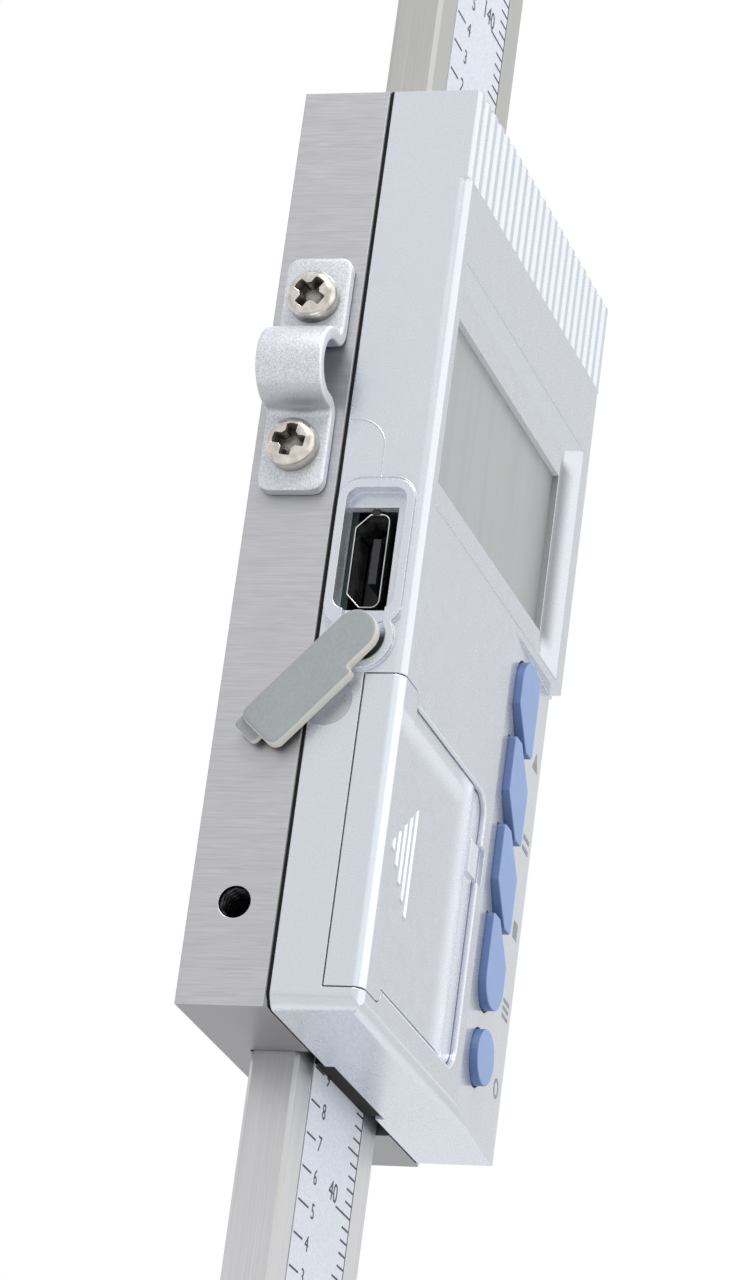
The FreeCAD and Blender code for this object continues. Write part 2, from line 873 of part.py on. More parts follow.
def make_grip_bars():
    """Raised bars that grow longer to the right, so that together they form an arrow to the left.

    Each bar is a small roof with two sloped sides.
    """
    h = grip_bar_half
    root = case_front + door_rim_drop
    middle = (door_bottom + door_top) / 2 - h
    width = grip_bar_count * grip_bar_pitch
    low = middle - grip_length / 2
    arrow = front_prism([(grip_apex_x, middle, 0), (grip_apex_x + width, low, 0),
                         (grip_apex_x + width, low + grip_length, 0)], far_front, 0)
    bars = []
    for k in range(grip_bar_count):
        x = grip_apex_x + k * grip_bar_pitch + grip_bar_pitch / 2
        roof = [(x - h, root, 0), (x - h, case_front, 0), (x, case_front - grip_bar_rise, 0),
                (x + h, case_front, 0), (x + h, root, 0)]
        bars.append(plan_prism(roof, low, low + grip_length).common(arrow))
    return bars


# Port cover, connector and cable clip on the left side

def make_port_cover():
    """Flat strap with a round lug, drawn closed over the port and then swung open about the lug."""
    inner = -rim_rise - cover_gap
    outer = inner - cover_thickness
    y = -pivot_depth
    z = pivot_height
    tip = z + cover_reach
    r = cover_corner_radius
    front = y - cover_front_width
    strap_outline = rectangle(front, y + cover_back_width, z + cover_shoulder, tip, r)
    strap = side_prism(strap_outline, outer, inner)
    neck = side_prism(rectangle(front, y + lug_radius, z, z + 2 * cover_shoulder), outer, inner)
    lug = pivot_disc(lug_radius, outer, inner)
    lip_outline = rectangle(front, front + cover_lip_width, tip - 2 * r, tip + cover_lip_length, r / 2)
    lip = side_prism(lip_outline, inner - cover_lip_thickness, inner)
    stem = pivot_disc(stem_radius, inner, side_wall + cover_gap)
    bead = pivot_disc(bead_radius, side_wall + cover_gap, side_wall + cover_gap + bead_length)
    cover = fuse(strap, neck, lug, lip, stem, bead)
    cover.rotate(Vector(0, y, z), rightward, -cover_open_angle)
    return cover


shell_back = board_front
shell_front = board_front - shell_height
shell_bottom = (port_opening_bottom + port_opening_top - shell_width) / 2


def shell_outline(inset):
    """Connector shell from the side: two round corners, and two bevelled ones next to the board."""
    low = shell_bottom + inset
    high = shell_bottom + shell_width - inset
    front = shell_front + inset
    back = shell_back - inset
    b = shell_bevel
    soft = shell_corner_radius - inset
    return [(front, low, soft), (back - b, low, 0), (back, low + b, 0),
            (back, high - b, 0), (back - b, high, 0), (front, high, soft)]


def make_usb_shell():
    end = shell_inset + shell_length
    tube = side_prism(shell_outline(0), shell_inset, end)
    return tube.cut(side_prism(shell_outline(shell_wall), shell_inset, end - shell_wall))


def make_usb_tongue():
    """Insulator: a block that fills the back of the shell and carries the contact tongue."""
    end = shell_inset + shell_length - shell_wall
    start = shell_inset + shell_wall
    half = tongue_width / 2
    middle_z = shell_bottom + shell_width / 2
    front = shell_front + tongue_inset
    block = side_prism(shell_outline(shell_wall), end - shell_length / 4, end)
    tongue = box(start, end, front, front + tongue_thickness, middle_z - half, middle_z + half)
    return fuse(block, tongue)


clip_bottom = clip_height - clip_length / 2
clip_top = clip_height + clip_length / 2
clip_outer_radius = clip_inner_radius + clip_thickness
clip_rise = 2 * clip_outer_radius - clip_thickness


def make_cable_clip():
    """Sheet strap bent over a cable: two flat feet, two bends each way and a half-round saddle."""
    t = clip_thickness
    ri = clip_inner_radius
    ro = clip_outer_radius
    bend = clip_bend_radius
    mid = clip_height
    outline = [(0, clip_bottom, 0), (t, clip_bottom, 0), (t, mid - ro, bend), (clip_rise, mid - ro, ro),
               (clip_rise, mid + ro, ro), (t, mid + ro, bend), (t, clip_top, 0), (0, clip_top, 0),
               (0, mid + ri, bend + t), (clip_rise - t, mid + ri, ri), (clip_rise - t, mid - ri, ri),
               (0, mid - ri, bend + t)]
    back = block_middle - clip_width / 2
    face = rounded_face(outline, lambda p: Vector(-p.x, back, p.y))
    strap = face.extrude(Vector(0, clip_width, 0))
    plan = rectangle(back, back + clip_width, clip_bottom, clip_top, clip_corner_radius)
    strap = strap.common(side_prism(plan, -2 * clip_rise, 0))
    holes = []
    for z in clip_screw_heights:
        holes.append(cylinder(Vector(-t, block_middle, z), rightward, clip_hole_radius, t))
    return strap.cut(holes)


def make_clip_screws():
    r = clip_screw_head_radius
    h = clip_screw_head_height
    end = clip_screw_fit - clip_screw_length - clip_thickness
    profile = [(0, end), (clip_screw_radius, end), (clip_screw_radius, 0), (r, 0), (r, h), (0, h)]
    screws = []
    for z in clip_screw_heights:
        screws.append(lathe(profile, Vector(-clip_thickness, block_middle, z), -rightward))
    return Part.makeCompound(screws)


beam_pieces = {
    "beam": make_beam(),
    "scale_strip": make_scale_strip(),
    "scale_label": make_scale_label(),
    "stop_pins": make_stop_pins(),
}
head_pieces = {
    "slider_block": make_slider_block(),
    "gib_strip": make_gib_strip(),
    "gib_screws": make_gib_screws(),
    "gasket": make_gasket(),
    "front_case": make_front_case(),
    "case_screws": make_case_screws(),
    "lower_wiper": make_wiper(wiper_places[0]),
    "upper_wiper": make_wiper(wiper_places[1]),
    "main_board": make_main_board(),
    "sensor_board": make_sensor_board(),
    "window_lens": make_window_lens(),
    "lcd_panel": make_lcd_panel(),
    "connector_strip": make_connector_strip(),
    "battery_cell": make_battery_cell(),
    "minus_leaf": make_minus_leaf(),
    "plus_clip": make_plus_clip(),
    "key_switches": make_key_switches(),
    "battery_door": make_battery_door(),
    "port_cover": make_port_cover(),
    "usb_shell": make_usb_shell(),
    "usb_tongue": make_usb_tongue(),
    "cable_clip": make_cable_clip(),
    "clip_screws": make_clip_screws(),
}
for index in key_indices:
    head_pieces["button_" + str(long_key_count - index)] = make_button(index)

os.makedirs("parts", exist_ok=True)
for name, shape in beam_pieces.items():
    save(name, shape)
for name, shape in head_pieces.items():
    save(name, seat_head(shape))
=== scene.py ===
# %% [markdown]
# # Dressing a digital linear scale
# The object is a readout head that slides on a graduated steel beam. Its solids were drawn in millimetres
# in a CAD program and packed as a frame of named nodes. This lesson leaves those solids where they are,
# gives each of them a finish, and adds the small things a solid model leaves out: the printed ruler, soft
# key caps, screw heads, threads, a speckled clip and a rubber port cover.

# %% Load the frame
import json
import math

import bmesh
import bpy
import numpy as np
from mathutils import Matrix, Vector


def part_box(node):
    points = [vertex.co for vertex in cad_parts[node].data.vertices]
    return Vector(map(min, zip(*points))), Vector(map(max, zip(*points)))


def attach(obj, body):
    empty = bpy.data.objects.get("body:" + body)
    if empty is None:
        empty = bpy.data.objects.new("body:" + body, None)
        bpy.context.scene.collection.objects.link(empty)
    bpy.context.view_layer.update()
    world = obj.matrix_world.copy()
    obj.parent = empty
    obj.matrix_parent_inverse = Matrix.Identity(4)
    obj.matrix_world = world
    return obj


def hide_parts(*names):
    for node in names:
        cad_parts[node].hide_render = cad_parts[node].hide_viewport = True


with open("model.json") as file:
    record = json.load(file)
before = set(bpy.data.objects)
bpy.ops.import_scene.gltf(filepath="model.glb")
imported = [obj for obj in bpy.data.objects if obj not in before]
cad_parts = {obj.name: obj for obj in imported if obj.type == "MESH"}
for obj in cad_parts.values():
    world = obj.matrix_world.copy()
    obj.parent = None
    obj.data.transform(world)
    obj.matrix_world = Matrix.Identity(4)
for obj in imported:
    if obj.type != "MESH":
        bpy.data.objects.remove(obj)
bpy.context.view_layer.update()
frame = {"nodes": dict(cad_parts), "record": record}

# %% [markdown]
# ## Two ways to measure
# The beam is measured from the shared origin. The head is easier to measure from its own lower left corner
# on the plane where the steel block meets the case. That corner is the lowest corner of the block's box, so
# it is read from the frame instead of typed in. Sizes below are millimetres, and Blender's are metres.

# %% Places on the beam and on the head
MM = 0.001
head_corner = np.array(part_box("slider_block")[0]) / MM


def from_beam(points):
    """Beam millimetres to metres: each point times one thousandth."""
    return np.asarray(points, float) * MM


def from_head(points):
    """Head millimetres to metres: each point plus the head's corner, times one thousandth."""
    return (np.asarray(points, float) + head_corner) * MM


def beam_box(node):
    """A node's lowest and highest corner, in beam millimetres."""
    return [np.array(corner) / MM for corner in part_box(node)]


def head_box(node):
    """A node's lowest and highest corner, in head millimetres."""
    return [corner - head_corner for corner in beam_box(node)]


print("head corner:", head_corner.round(3))

# %% [markdown]
# ## Shapes as arrays
# A shape here is three arrays: points, the corners of all faces in one row, and how many corners each face
# has. Blender's own primitives would do for boxes, but rolled edges and screw recesses are surfaces of two
# parameters, and numpy works out a whole surface at once. The first helper lays a skin over rings of
# points.

# %% A skin over rings of points


def skin(rings, ends="flat"):
    """Faces between neighbouring rings of one grid of points, of shape (rings, points in a ring, 3).

    Point k of a ring joins point k + 1 of it and the same two points of the next ring. With ends "flat" the
    first and last ring are filled, with "loop" the last ring joins the first, and "open" adds nothing.
    """
    rows, columns = rings.shape[:2]
    index = np.arange(rows * columns).reshape(rows, columns)
    if ends == "loop":
        index = np.concatenate([index, index[:1]])
    beside = np.roll(index, -1, axis=1)
    quads = np.stack([index[:-1], beside[:-1], beside[1:], index[1:]], axis=-1).reshape(-1, 4)
    corners = quads.ravel()
    sizes = np.full(len(quads), 4)
    if ends == "flat":
        corners = np.concatenate([corners, index[0, ::-1], index[-1]])
        sizes = np.concatenate([sizes, [columns, columns]])
    return rings.reshape(-1, 3), corners, sizes


def outward(shape):
    """The shape with its faces turned outward.

    The volume is the sum of the signed pyramids from the middle to each face, cut into a fan of triangles.
    Where that sum is negative, every face's corners are read in the other order.
    """
    points, corners, sizes = shape
    starts = np.cumsum(sizes) - sizes
    following = np.arange(len(corners)) + 1
    following[starts + sizes - 1] = starts
    first = points[np.repeat(corners[starts], sizes)]
    middle = points.mean(axis=0)
    sides = np.cross(points[corners] - middle, points[corners[following]] - middle)
    volume = np.einsum("ij,ij->", first - middle, sides)
    return shape if volume > 0 else (points, corners[::-1], sizes[::-1])


def stand(shape, u, v, h, at=(0, 0, 0)):
    """Lay a shape's own directions along u, v and h, from a place: at + x u + y v + z h for each point."""
    points, corners, sizes = shape
    return points @ np.array([u, v, h], float) + np.asarray(at, float), corners, sizes


LEFTWARD, RIGHTWARD = (((0, 1, 0), (0, 0, 1), (way, 0, 0)) for way in (-1, 1))
FORWARD, BACKWARD = (((1, 0, 0), (0, 0, 1), (0, way, 0)) for way in (-1, 1))
print("shapes can stand leftward, rightward, forward and backward")

# %% [markdown]
# ## From arrays to a piece
# One function makes every new piece: it joins its shapes, fills a mesh with foreach_set, welds the points
# where a ring shrinks to a pole, and shades the result smooth except at real edges. It also says which body
# carries the piece and which plain solids it stands for. A piece has the finish of its slot, from a table
# that the next steps fill, unless it is given one of its own.

# %% Make a piece
EDGE_ANGLE = math.radians(38)
WELD = 1e-7
finishes = {}


def put(name, data):
    """A new object of some data, in the scene."""
    made = bpy.data.objects.new(name, data)
    bpy.context.scene.collection.objects.link(made)
    return made


def piece(name, body, slot, shapes, finish=None, place=from_head, stands_for=()):
    """One mesh object from a list of shapes in millimetres, riding on a body."""
    shapes = [outward(shape) for shape in shapes]
    counts = np.array([len(shape[0]) for shape in shapes])
    starts = np.cumsum(counts) - counts
    points = place(np.concatenate([shape[0] for shape in shapes]))
    corners = np.concatenate([shape[1] + start for shape, start in zip(shapes, starts)])
    sizes = np.concatenate([shape[2] for shape in shapes])
    mesh = bpy.data.meshes.new(name)
    mesh.vertices.add(len(points))
    mesh.loops.add(len(corners))
    mesh.polygons.add(len(sizes))
    mesh.vertices.foreach_set("co", points.astype(np.float32).ravel())
    mesh.loops.foreach_set("vertex_index", corners.astype(np.int32))
    mesh.polygons.foreach_set("loop_start", (np.cumsum(sizes) - sizes).astype(np.int32))
    mesh.update(calc_edges=True)
    welder = bmesh.new()
    welder.from_mesh(mesh)
    bmesh.ops.remove_doubles(welder, verts=welder.verts[:], dist=WELD)
    welder.to_mesh(mesh)
    welder.free()
    mesh.shade_smooth()
    mesh.set_sharp_from_angle(angle=EDGE_ANGLE)
    mesh.materials.append(finish or finishes[slot])
    made = put(name, mesh)
    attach(made, body)
    if stands_for:
        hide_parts(*stands_for)
    print(name, "on", body, "with", len(mesh.polygons), "faces")


print("points closer than", WELD, "m are welded")

# %% [markdown]
# ## Outlines with round corners
# Keys, straps and plates all start as an outline whose corners are rounded. Walking along it, the direction
# turns at each corner; the arc's points are its centre plus its radius times the outward normal. The same
# walk gives those normals, which later move the outline inward to roll an edge over.

# %% Round a line's corners


def rounded(corners, steps=8, closed=True):
    """Points and outward normals of a line whose corners (u, v, radius) are rounded, counter-clockwise.

    An arc starts radius times tan(half the turn) before its corner. While the direction turns from one side
    to the next, the normal turns with it, and the point is the arc's centre plus (or, in a hollow corner,
    minus) the radius times that normal.
    """
    corners = np.asarray(corners, float)
    place, radius = corners[:, :2], corners[:, 2:]
    leave = np.roll(place, -1, axis=0) - place
    leave = leave / np.linalg.norm(leave, axis=1, keepdims=True)
    arrive = np.roll(leave, 1, axis=0)
    if not closed:
        leave[-1] = arrive[-1]
        arrive[0] = leave[0]
    across = arrive[:, 0] * leave[:, 1] - arrive[:, 1] * leave[:, 0]
    turn = np.arctan2(across, (arrive * leave).sum(axis=1))
    heading = np.arctan2(arrive[:, 1], arrive[:, 0])
    angle = heading[:, None] + turn[:, None] * np.linspace(0, 1, steps)
    normal = np.stack([np.sin(angle), -np.cos(angle)], axis=-1)
    side = np.sign(turn)[:, None]
    start = place - arrive * radius * np.tan(np.abs(turn) / 2)[:, None]
    centre = start - side * radius * normal[:, 0]
    points = centre[:, None] + (side * radius)[:, None] * normal
    return points.reshape(-1, 2), normal.reshape(-1, 2)


def rectangle(u0, u1, v0, v1, radius):
    """Corners of a rectangle with one radius."""
    return [(u0, v0, radius), (u1, v0, radius), (u1, v1, radius), (u0, v1, radius)]


def about(u, v, half_u, half_v, radius):
    """Corners of a rectangle about its middle."""
    return rectangle(u - half_u, u + half_u, v - half_v, v + half_v, radius)


print("points of a rounded rectangle:", len(rounded(about(0, 0, 2, 1, 0.5))[0]))

# %% [markdown]
# ## A slab with rolled edges
# Moulded and bent pieces have no knife edges. A slab is the outline carried from a base to a top, and near
# both faces it moves inward along its normals by a quarter circle, so light catches the edge as it does on
# the real piece. A Bevel modifier could do this too, but here every ring is known and stays even.

# %% Roll the edges of a slab
SUPPORT = 0.03
CROWN_RINGS = 9


def soft_slab(corners, base, top, edge, steps=5, crown=0.0):
    """A slab in (u, v, height) with rounded corners and rolled edges.

    At angle a of the quarter circle the outline is inset by edge (1 - cos a) and lies edge (1 - sin a) short
    of the face. With a crown, the top face also rises to its middle by crown (1 - s s), where s shrinks the
    outline from 1 to 0 about its centre.
    """
    line, normal = rounded(corners)
    angle = np.linspace(0, math.pi / 2, steps)
    inset = edge * (1 - np.cos(angle))
    short = edge * (1 - np.sin(angle))
    toward = math.copysign(1, top - base)
    insets = np.concatenate([[edge + SUPPORT], inset[::-1], inset, [edge + SUPPORT]])
    heights = np.concatenate([[base], base + toward * short[::-1], top - toward * short, [top]])
    flat = line - insets[:, None, None] * normal
    tall = np.broadcast_to(heights[:, None, None], flat.shape[:2] + (1,))
    rings = np.concatenate([flat, tall], axis=-1)
    if not crown:
        return skin(rings)
    share = np.linspace(1, 0, CROWN_RINGS)[1:]
    centre = flat[-1].mean(axis=0)
    domed = centre + share[:, None, None] * (flat[-1] - centre)
    rise = (top + toward * crown * (1 - share ** 2))[:, None, None]
    dome = np.concatenate([domed, np.broadcast_to(rise, domed.shape[:2] + (1,))], axis=-1)
    points, corners, sizes = skin(np.concatenate([rings, dome]))
    return points, corners[:-len(line)], sizes[:-1]


print("faces of a plain slab:", len(soft_slab(about(0, 0, 2, 1, 0.5), 0, 1, 0.1)[2]))

# %% [markdown]
# ## Turned shapes
# Pins, cells and screw shanks come off a lathe. A lathe shape is a profile of radius and height carried
# round a circle, which is again a grid of two parameters.

# %% Turn a profile
SMALL_ROUND, LARGE_ROUND = 32, 96


def turned_rings(profile, count):
    """Rings of a solid of revolution: point (r, h) of the profile becomes the ring (r cos a, r sin a, h)."""
    profile = np.asarray(profile, float)
    angle = np.arange(count) / count * 2 * math.pi
    height = np.broadcast_to(profile[:, 1:], (len(profile), count))
    return np.stack([profile[:, :1] * np.cos(angle), profile[:, :1] * np.sin(angle), height], axis=-1)


def turned(profile, count):
    """Solid of revolution of a profile that starts and ends on the axis, or closes on itself."""
    return skin(turned_rings(profile, count), "open")


print("faces of a turned cone:", len(turned([(0, 0), (1, 0), (0, 1)], SMALL_ROUND)[2]))

# %% [markdown]
# ## A small language for finishes
# Finishes are node trees, and a tree written node by node is hard to read. The class below wraps one socket
# and overloads the operators, so `0.3 + 0.2 * grain` adds the Math nodes by itself. Every other kind of
# node comes from one method that takes its settings first and then what its sockets hold.

# %% Wires through a material


class Wire:
    """A number, colour or vector on its way through one material."""

    def __init__(self, tree, socket):
        self.tree = tree
        self.socket = socket

    def node(self, kind, settings, sockets, out=0):
        """Add a node of a kind, set it up, fill or link its sockets, and follow one of its outputs."""
        made = self.tree.nodes.new("ShaderNode" + kind)
        for name, value in settings.items():
            setattr(made, name, value)
        for name, value in sockets.items():
            if isinstance(value, Wire):
                self.tree.links.new(value.socket, made.inputs[name])
            else:
                made.inputs[name].default_value = value
        return Wire(self.tree, made.outputs[out])

    def math(self, operation, first, second):
        """One Math node."""
        return self.node("Math", {"operation": operation}, {0: first, 1: second})

    def __add__(self, other):
        return self.math("ADD", self, other)

    def __radd__(self, other):
        return self.math("ADD", other, self)

    def __sub__(self, other):
        return self.math("SUBTRACT", self, other)

    def __rsub__(self, other):
        return self.math("SUBTRACT", other, self)

    def __mul__(self, other):
        return self.math("MULTIPLY", self, other)

    def __rmul__(self, other):
        return self.math("MULTIPLY", other, self)

    def most(self, other):
        """The larger of two values."""
        return self.math("MAXIMUM", self, other)

    def between(self, low, high):
        """0 below low, 1 above high, and a smooth step from one to the other."""
        return self.node("MapRange", {"interpolation_type": "SMOOTHSTEP"},
                         {"Value": self, "From Min": low, "From Max": high})

    def blend(self, first, second):
        """The first colour where this value is 0 and the second where it is 1."""
        return self.node("Mix", {"data_type": "RGBA"}, {0: self, 6: first, 7: second}, 2)


def tone(red, green, blue):
    """A screen colour from 0 to 255 as linear light: mostly ((c + 0.055) / 1.055) to the power 2.4."""
    share = np.array([red, green, blue]) / 255
    linear = np.where(share > 0.04045, ((share + 0.055) / 1.055) ** 2.4, share / 12.92)
    return (*linear.tolist(), 1.0)


print("a middle grey on screen is", round(tone(128, 128, 128)[0], 3), "in light")

# %% [markdown]
# ## Patterns that finishes share
# Brushed metal, silver paint and moulded grain are all noise. Noise stretched along one axis gives brush
# marks, and even noise gives grain. All patterns read Object coordinates in metres, so a frequency of 6000
# is a mark every sixth of a millimetre. The Bevel node looks a little way round an edge and bends the
# normal there, which takes the knife edge off the plain solids without changing their meshes. The Ambient
# Occlusion node tells how closed in a spot is. Seams and holes are darkened by it, partly as dirt and partly
# as painted shade.

# %% Start a material, draw on it and finish it
BEVEL_SAMPLES, SHADE_SAMPLES = 12, 8


def begin(name, plain):
    """A new material with its constant sockets set, and the wire of its Object coordinates."""
    material = bpy.data.materials.new(name)
    material.use_nodes = True
    tree = material.node_tree
    for socket, value in plain.items():
        tree.nodes["Principled BSDF"].inputs[socket].default_value = value
    return material, Wire(tree, tree.nodes.new("ShaderNodeTexCoord").outputs["Object"])


def feed(material, wires):
    """Link wires to the sockets of the material's main shader."""
    shader = material.node_tree.nodes["Principled BSDF"]
    for socket, wire in wires.items():
        material.node_tree.links.new(wire.socket, shader.inputs[socket])
    return material


def grain(place, frequency, detail=2.0):
    """Noise with its own frequency, per metre, along each axis; a single number serves all three."""
    moved = place.node("Mapping", {}, {"Vector": place, "Scale": np.broadcast_to(frequency, 3).tolist()})
    return place.node("TexNoise", {}, {"Vector": moved, "Scale": 1.0, "Detail": detail})


def soft_edge(place, radius):
    """The surface normal, averaged round edges that are closer than a radius in metres."""
    return place.node("Bevel", {"samples": BEVEL_SAMPLES}, {"Radius": radius})


def raised(place, height, depth, normal):
    """A normal bent by a height pattern of a depth in metres."""
    return place.node("Bump", {}, {"Height": height, "Distance": depth, "Normal": normal})


print("materials can be begun, drawn on and fed")

# %% Ask where a spot is and how it looks


def edge_wear(place, normal):
    """How far the softened normal leans from the true face: 0 on flats, more on edges."""
    true_face = place.node("NewGeometry", {}, {}, "True Normal")
    return 1 - place.node("VectorMath", {"operation": "DOT_PRODUCT"}, {0: normal, 1: true_face}, "Value")


def looks(place, axis):
    """How far a face looks along the positive direction of an axis, from -1 to 1."""
    face = place.node("NewGeometry", {}, {}, "True Normal")
    return place.node("SeparateXYZ", {}, {"Vector": face}, axis)


def against(place, axis):
    """How far a face looks against an axis: along 0 that is to the left, along 1 forward, along 2 down."""
    return 0 - looks(place, axis)


def spot(place, axis):
    """One of the three coordinates of a spot, in metres."""
    return place.node("SeparateXYZ", {}, {"Vector": place}, axis)


def past(place, axis, start, full):
    """0 before one place along an axis of the head and 1 past another, both in millimetres."""
    return spot(place, axis).between(*((value + head_corner[axis]) * MM for value in (start, full)))


def band(place, axis, start, full, fall, end):
    """1 between two places along an axis of the head, rising from start to full, falling from fall to end."""
    return past(place, axis, start, full) * (1 - past(place, axis, fall, end))


def grime(place, reach):
    """How closed in a spot is within a reach in metres: 0 in the open, near 1 in a hole or a seam."""
    return 1 - place.node("AmbientOcclusion", {"samples": SHADE_SAMPLES}, {"Distance": reach}, "AO")


print("places are measured from", head_corner.round(2), "mm")

# %% [markdown]
# ## Brushed steel
# The beam was drawn past an abrasive belt, so its marks run along it. The block was ground across its
# sides. The same recipe makes both: wide streaks change the colour a little, fine ones change the gloss and
# the normal. On the block a face that looks forward or back has its marks turned, which the normal's second
# part decides. Chamfers and the block's faces that look down are painted darker, as painted shade, and the
# beam is a little darker above the place where the head is kept. Holes and seams darken, partly as oil and
# partly as painted shade, and edges are lighter, partly as wear and partly as a painted highlight.

# %% Beam and block
OIL_SHADE_REACH, OIL_AND_SHADE, WORN_STEEL_SHEEN = 0.0018, tone(38, 38, 40), tone(206, 207, 210)
BRUSH_DEPTH, ABOVE_HEAD = 0.000008, (0.125, 0.155)


def brushed(name, marks, dark, light, dim_tone, rough, radius):
    """Brushed metal: marks(place) gives wide streaks, fine scratches and the share that is painted darker."""
    material, place = begin(name, {"Metallic": 1.0})
    streak, scratch, darker = marks(place)
    edge = soft_edge(place, radius)
    # Lighter edges: partly wear, partly a painted highlight.
    bright = edge_wear(place, edge).between(0.02, 0.3)
    shade = streak.between(0.25, 0.75) * 0.25 + scratch.between(0.2, 0.8) * 0.75
    ground = bright.blend(shade.blend(dark, light), WORN_STEEL_SHEEN)
    # Closed-in spots darken: partly oil, partly painted shade.
    oil_and_shade = grime(place, OIL_SHADE_REACH).between(0.35, 0.95)
    return feed(material, {
        "Base Color": oil_and_shade.blend(darker.blend(ground, dim_tone), OIL_AND_SHADE),
        "Roughness": rough + 0.16 * (scratch - 0.5) - 0.08 * bright,
        "Normal": raised(place, scratch, BRUSH_DEPTH, edge)})


def chamfers(place):
    """1 on faces that lean to the front left or to the back right."""
    return (looks(place, 0) * looks(place, 1)).between(0.25, 0.4)


def beam_marks(place):
    """Marks along the beam, painted shade on chamfers, and darker above the head."""
    upper = spot(place, 2).between(*ABOVE_HEAD)
    return grain(place, (700, 700, 9), 3), grain(place, (9000, 9000, 70)), 0.6 * upper.most(chamfers(place))


def block_marks(place):
    """Marks across the block's sides, and level ones on its front and back; painted shade on chamfers and
    below.
    """
    behind = (looks(place, 1) * looks(place, 1)).between(0.4, 0.6)
    scratch = (1 - behind) * grain(place, (9000, 420, 11000)) + behind * grain(place, (420, 420, 11000))
    underside = 0.7 * against(place, 2).between(0.6, 0.9)
    return grain(place, (260, 60, 5200)), scratch, underside.most(chamfers(place))


finishes["beam_steel"] = brushed("beam_brushed_steel", beam_marks, tone(189, 189, 191), tone(207, 207, 209),
                                 tone(156, 155, 151), 0.36, 0.00008)
finishes["block_steel"] = brushed("block_ground_steel", block_marks, tone(173, 173, 177), tone(189, 189, 193),
                                  tone(128, 128, 131), 0.40, 0.00012)
print("steel:", list(finishes))

# %% [markdown]
# ## Silver paint
# The case and the battery door are moulded and coated with a fine silver spray paint. Its flakes are too
# small to see singly, so a fine grain stands for them, and the spray leaves a faint unevenness. Edges are a
# touch lighter, partly as thinner paint and partly as a painted highlight. Spray does not reach into pockets,
# where pale plastic shows, and narrow seams are darkened, partly as dirt and partly as painted shade. The
# clip has a coarser, speckled coat of the same kind. What differs from piece to piece comes as layers, each a
# share and a colour, so one recipe serves all three.

# %% A recipe for paint
BARE_REACH, BARE_METAL, BARE_PLASTIC = 0.004, 0.15, tone(218, 223, 238)
SEAM_REACH, SEAM_DIRT_SHADE, THIN_PAINT_SHEEN = 0.00035, tone(26, 27, 31), tone(232, 236, 243)


def silver_paint(name, base, spark, layers, fleck, uneven, metal, rough, bump, radius, shadow=None):
    """Sprayed metallic paint: a fine grain and a slow unevenness move the colour, gloss and normal.

    The layers are blended over the coat one after the other. A shadow gives a share of painted shadow, as
    dark as a seam.
    """
    material, place = begin(name, {"Specular IOR Level": 0.3})
    fine = grain(place, fleck)
    slow = grain(place, uneven, 3)
    edge = soft_edge(place, radius)
    # Lighter edges: partly thinner paint, partly a painted highlight.
    thin = edge_wear(place, edge).between(0.03, 0.4)
    bare = grime(place, BARE_REACH).between(0.4, 0.8)
    sideways = against(place, 0).between(0.5, 0.9)
    # Darker seams: partly dirt, partly painted shade, more on faces that look to the left.
    dark = (0.55 + 0.35 * sideways) * grime(place, SEAM_REACH).between(0.6, 0.92)
    if shadow:
        dark = dark.most(shadow(place))
    coat = (fine * 0.7 + slow * 0.3).between(0.35, 0.65).blend(base, spark)
    for share, colour in layers(place):
        coat = share.blend(coat, colour)
    worn = bare.blend(thin.blend(coat, THIN_PAINT_SHEEN), BARE_PLASTIC)
    return feed(material, {
        "Base Color": dark.blend(worn, SEAM_DIRT_SHADE),
        "Metallic": metal - (metal - BARE_METAL) * bare,
        "Roughness": rough + 0.08 * (fine - 0.5) + 0.08 * (slow - 0.5),
        "Normal": raised(place, fine, bump, edge)})


print("paint does not reach", BARE_REACH / MM, "mm into pockets")

# %% [markdown]
# ## Case, door and clip
# Faces that look to the left or down are painted lighter, as painted light. Gentle slopes of the front take
# a painted highlight, the foot of the long slope beside the window a painted shade, and a painted shadow
# darkens the recess round the hinge. On the door, painted highlights lie on the round edge, the raised bars,
# the right slope and a strip along the top. On the clip, faces that look forward take a painted highlight
# and faces that look down a painted shade. Places are given in head millimetres.

# %% Paint the case, the door and the clip
CASE_FRONT = -7.15
PAINTED_SHEEN, DOOR_SHEEN = tone(214, 219, 228), tone(232, 237, 246)
SLOPE_FOOT_X, SLOPE_FOOT_Z = (32.5, 32.8, 33.3, 36.0), (41.5, 43.0, 57.0, 58.2)
DOOR_SLOPE, DOOR_RIM, DOOR_TOP = (15.3, 20.2), (20.4, 21.2), (21.2, 22.8, 23.2, 23.8)
DOOR_BARS = (CASE_FRONT - 0.1, CASE_FRONT - 0.03)
HINGE, HINGE_SHADOW_RING, HINGE_SHADOW_RISE = (0.6, -3.45, 28.65), (2.1, 2.3), (0.2, 1.0)


def sprayed(place):
    """Painted light: faces that look to the left or down are lighter."""
    down = against(place, 2)
    return [(0.8 * against(place, 0).between(0.04, 0.14), tone(203, 208, 215)),
            (down.between(0.1, 0.2), tone(194, 199, 206)), (0.8 * down.between(0.6, 0.9), PAINTED_SHEEN)]


def case_layers(place):
    """A painted highlight on faces that lean from the front by 3 to 14 degrees, and painted shade at a foot
    beside the window.
    """
    lean = 1 - looks(place, 1) * looks(place, 1)
    slope_sheen = lean.between(0.003, 0.016) * (1 - lean.between(0.035, 0.06))
    foot = 0.95 * band(place, 0, *SLOPE_FOOT_X) * band(place, 2, *SLOPE_FOOT_Z)
    return sprayed(place) + [(slope_sheen, PAINTED_SHEEN), (foot, tone(128, 131, 137))]


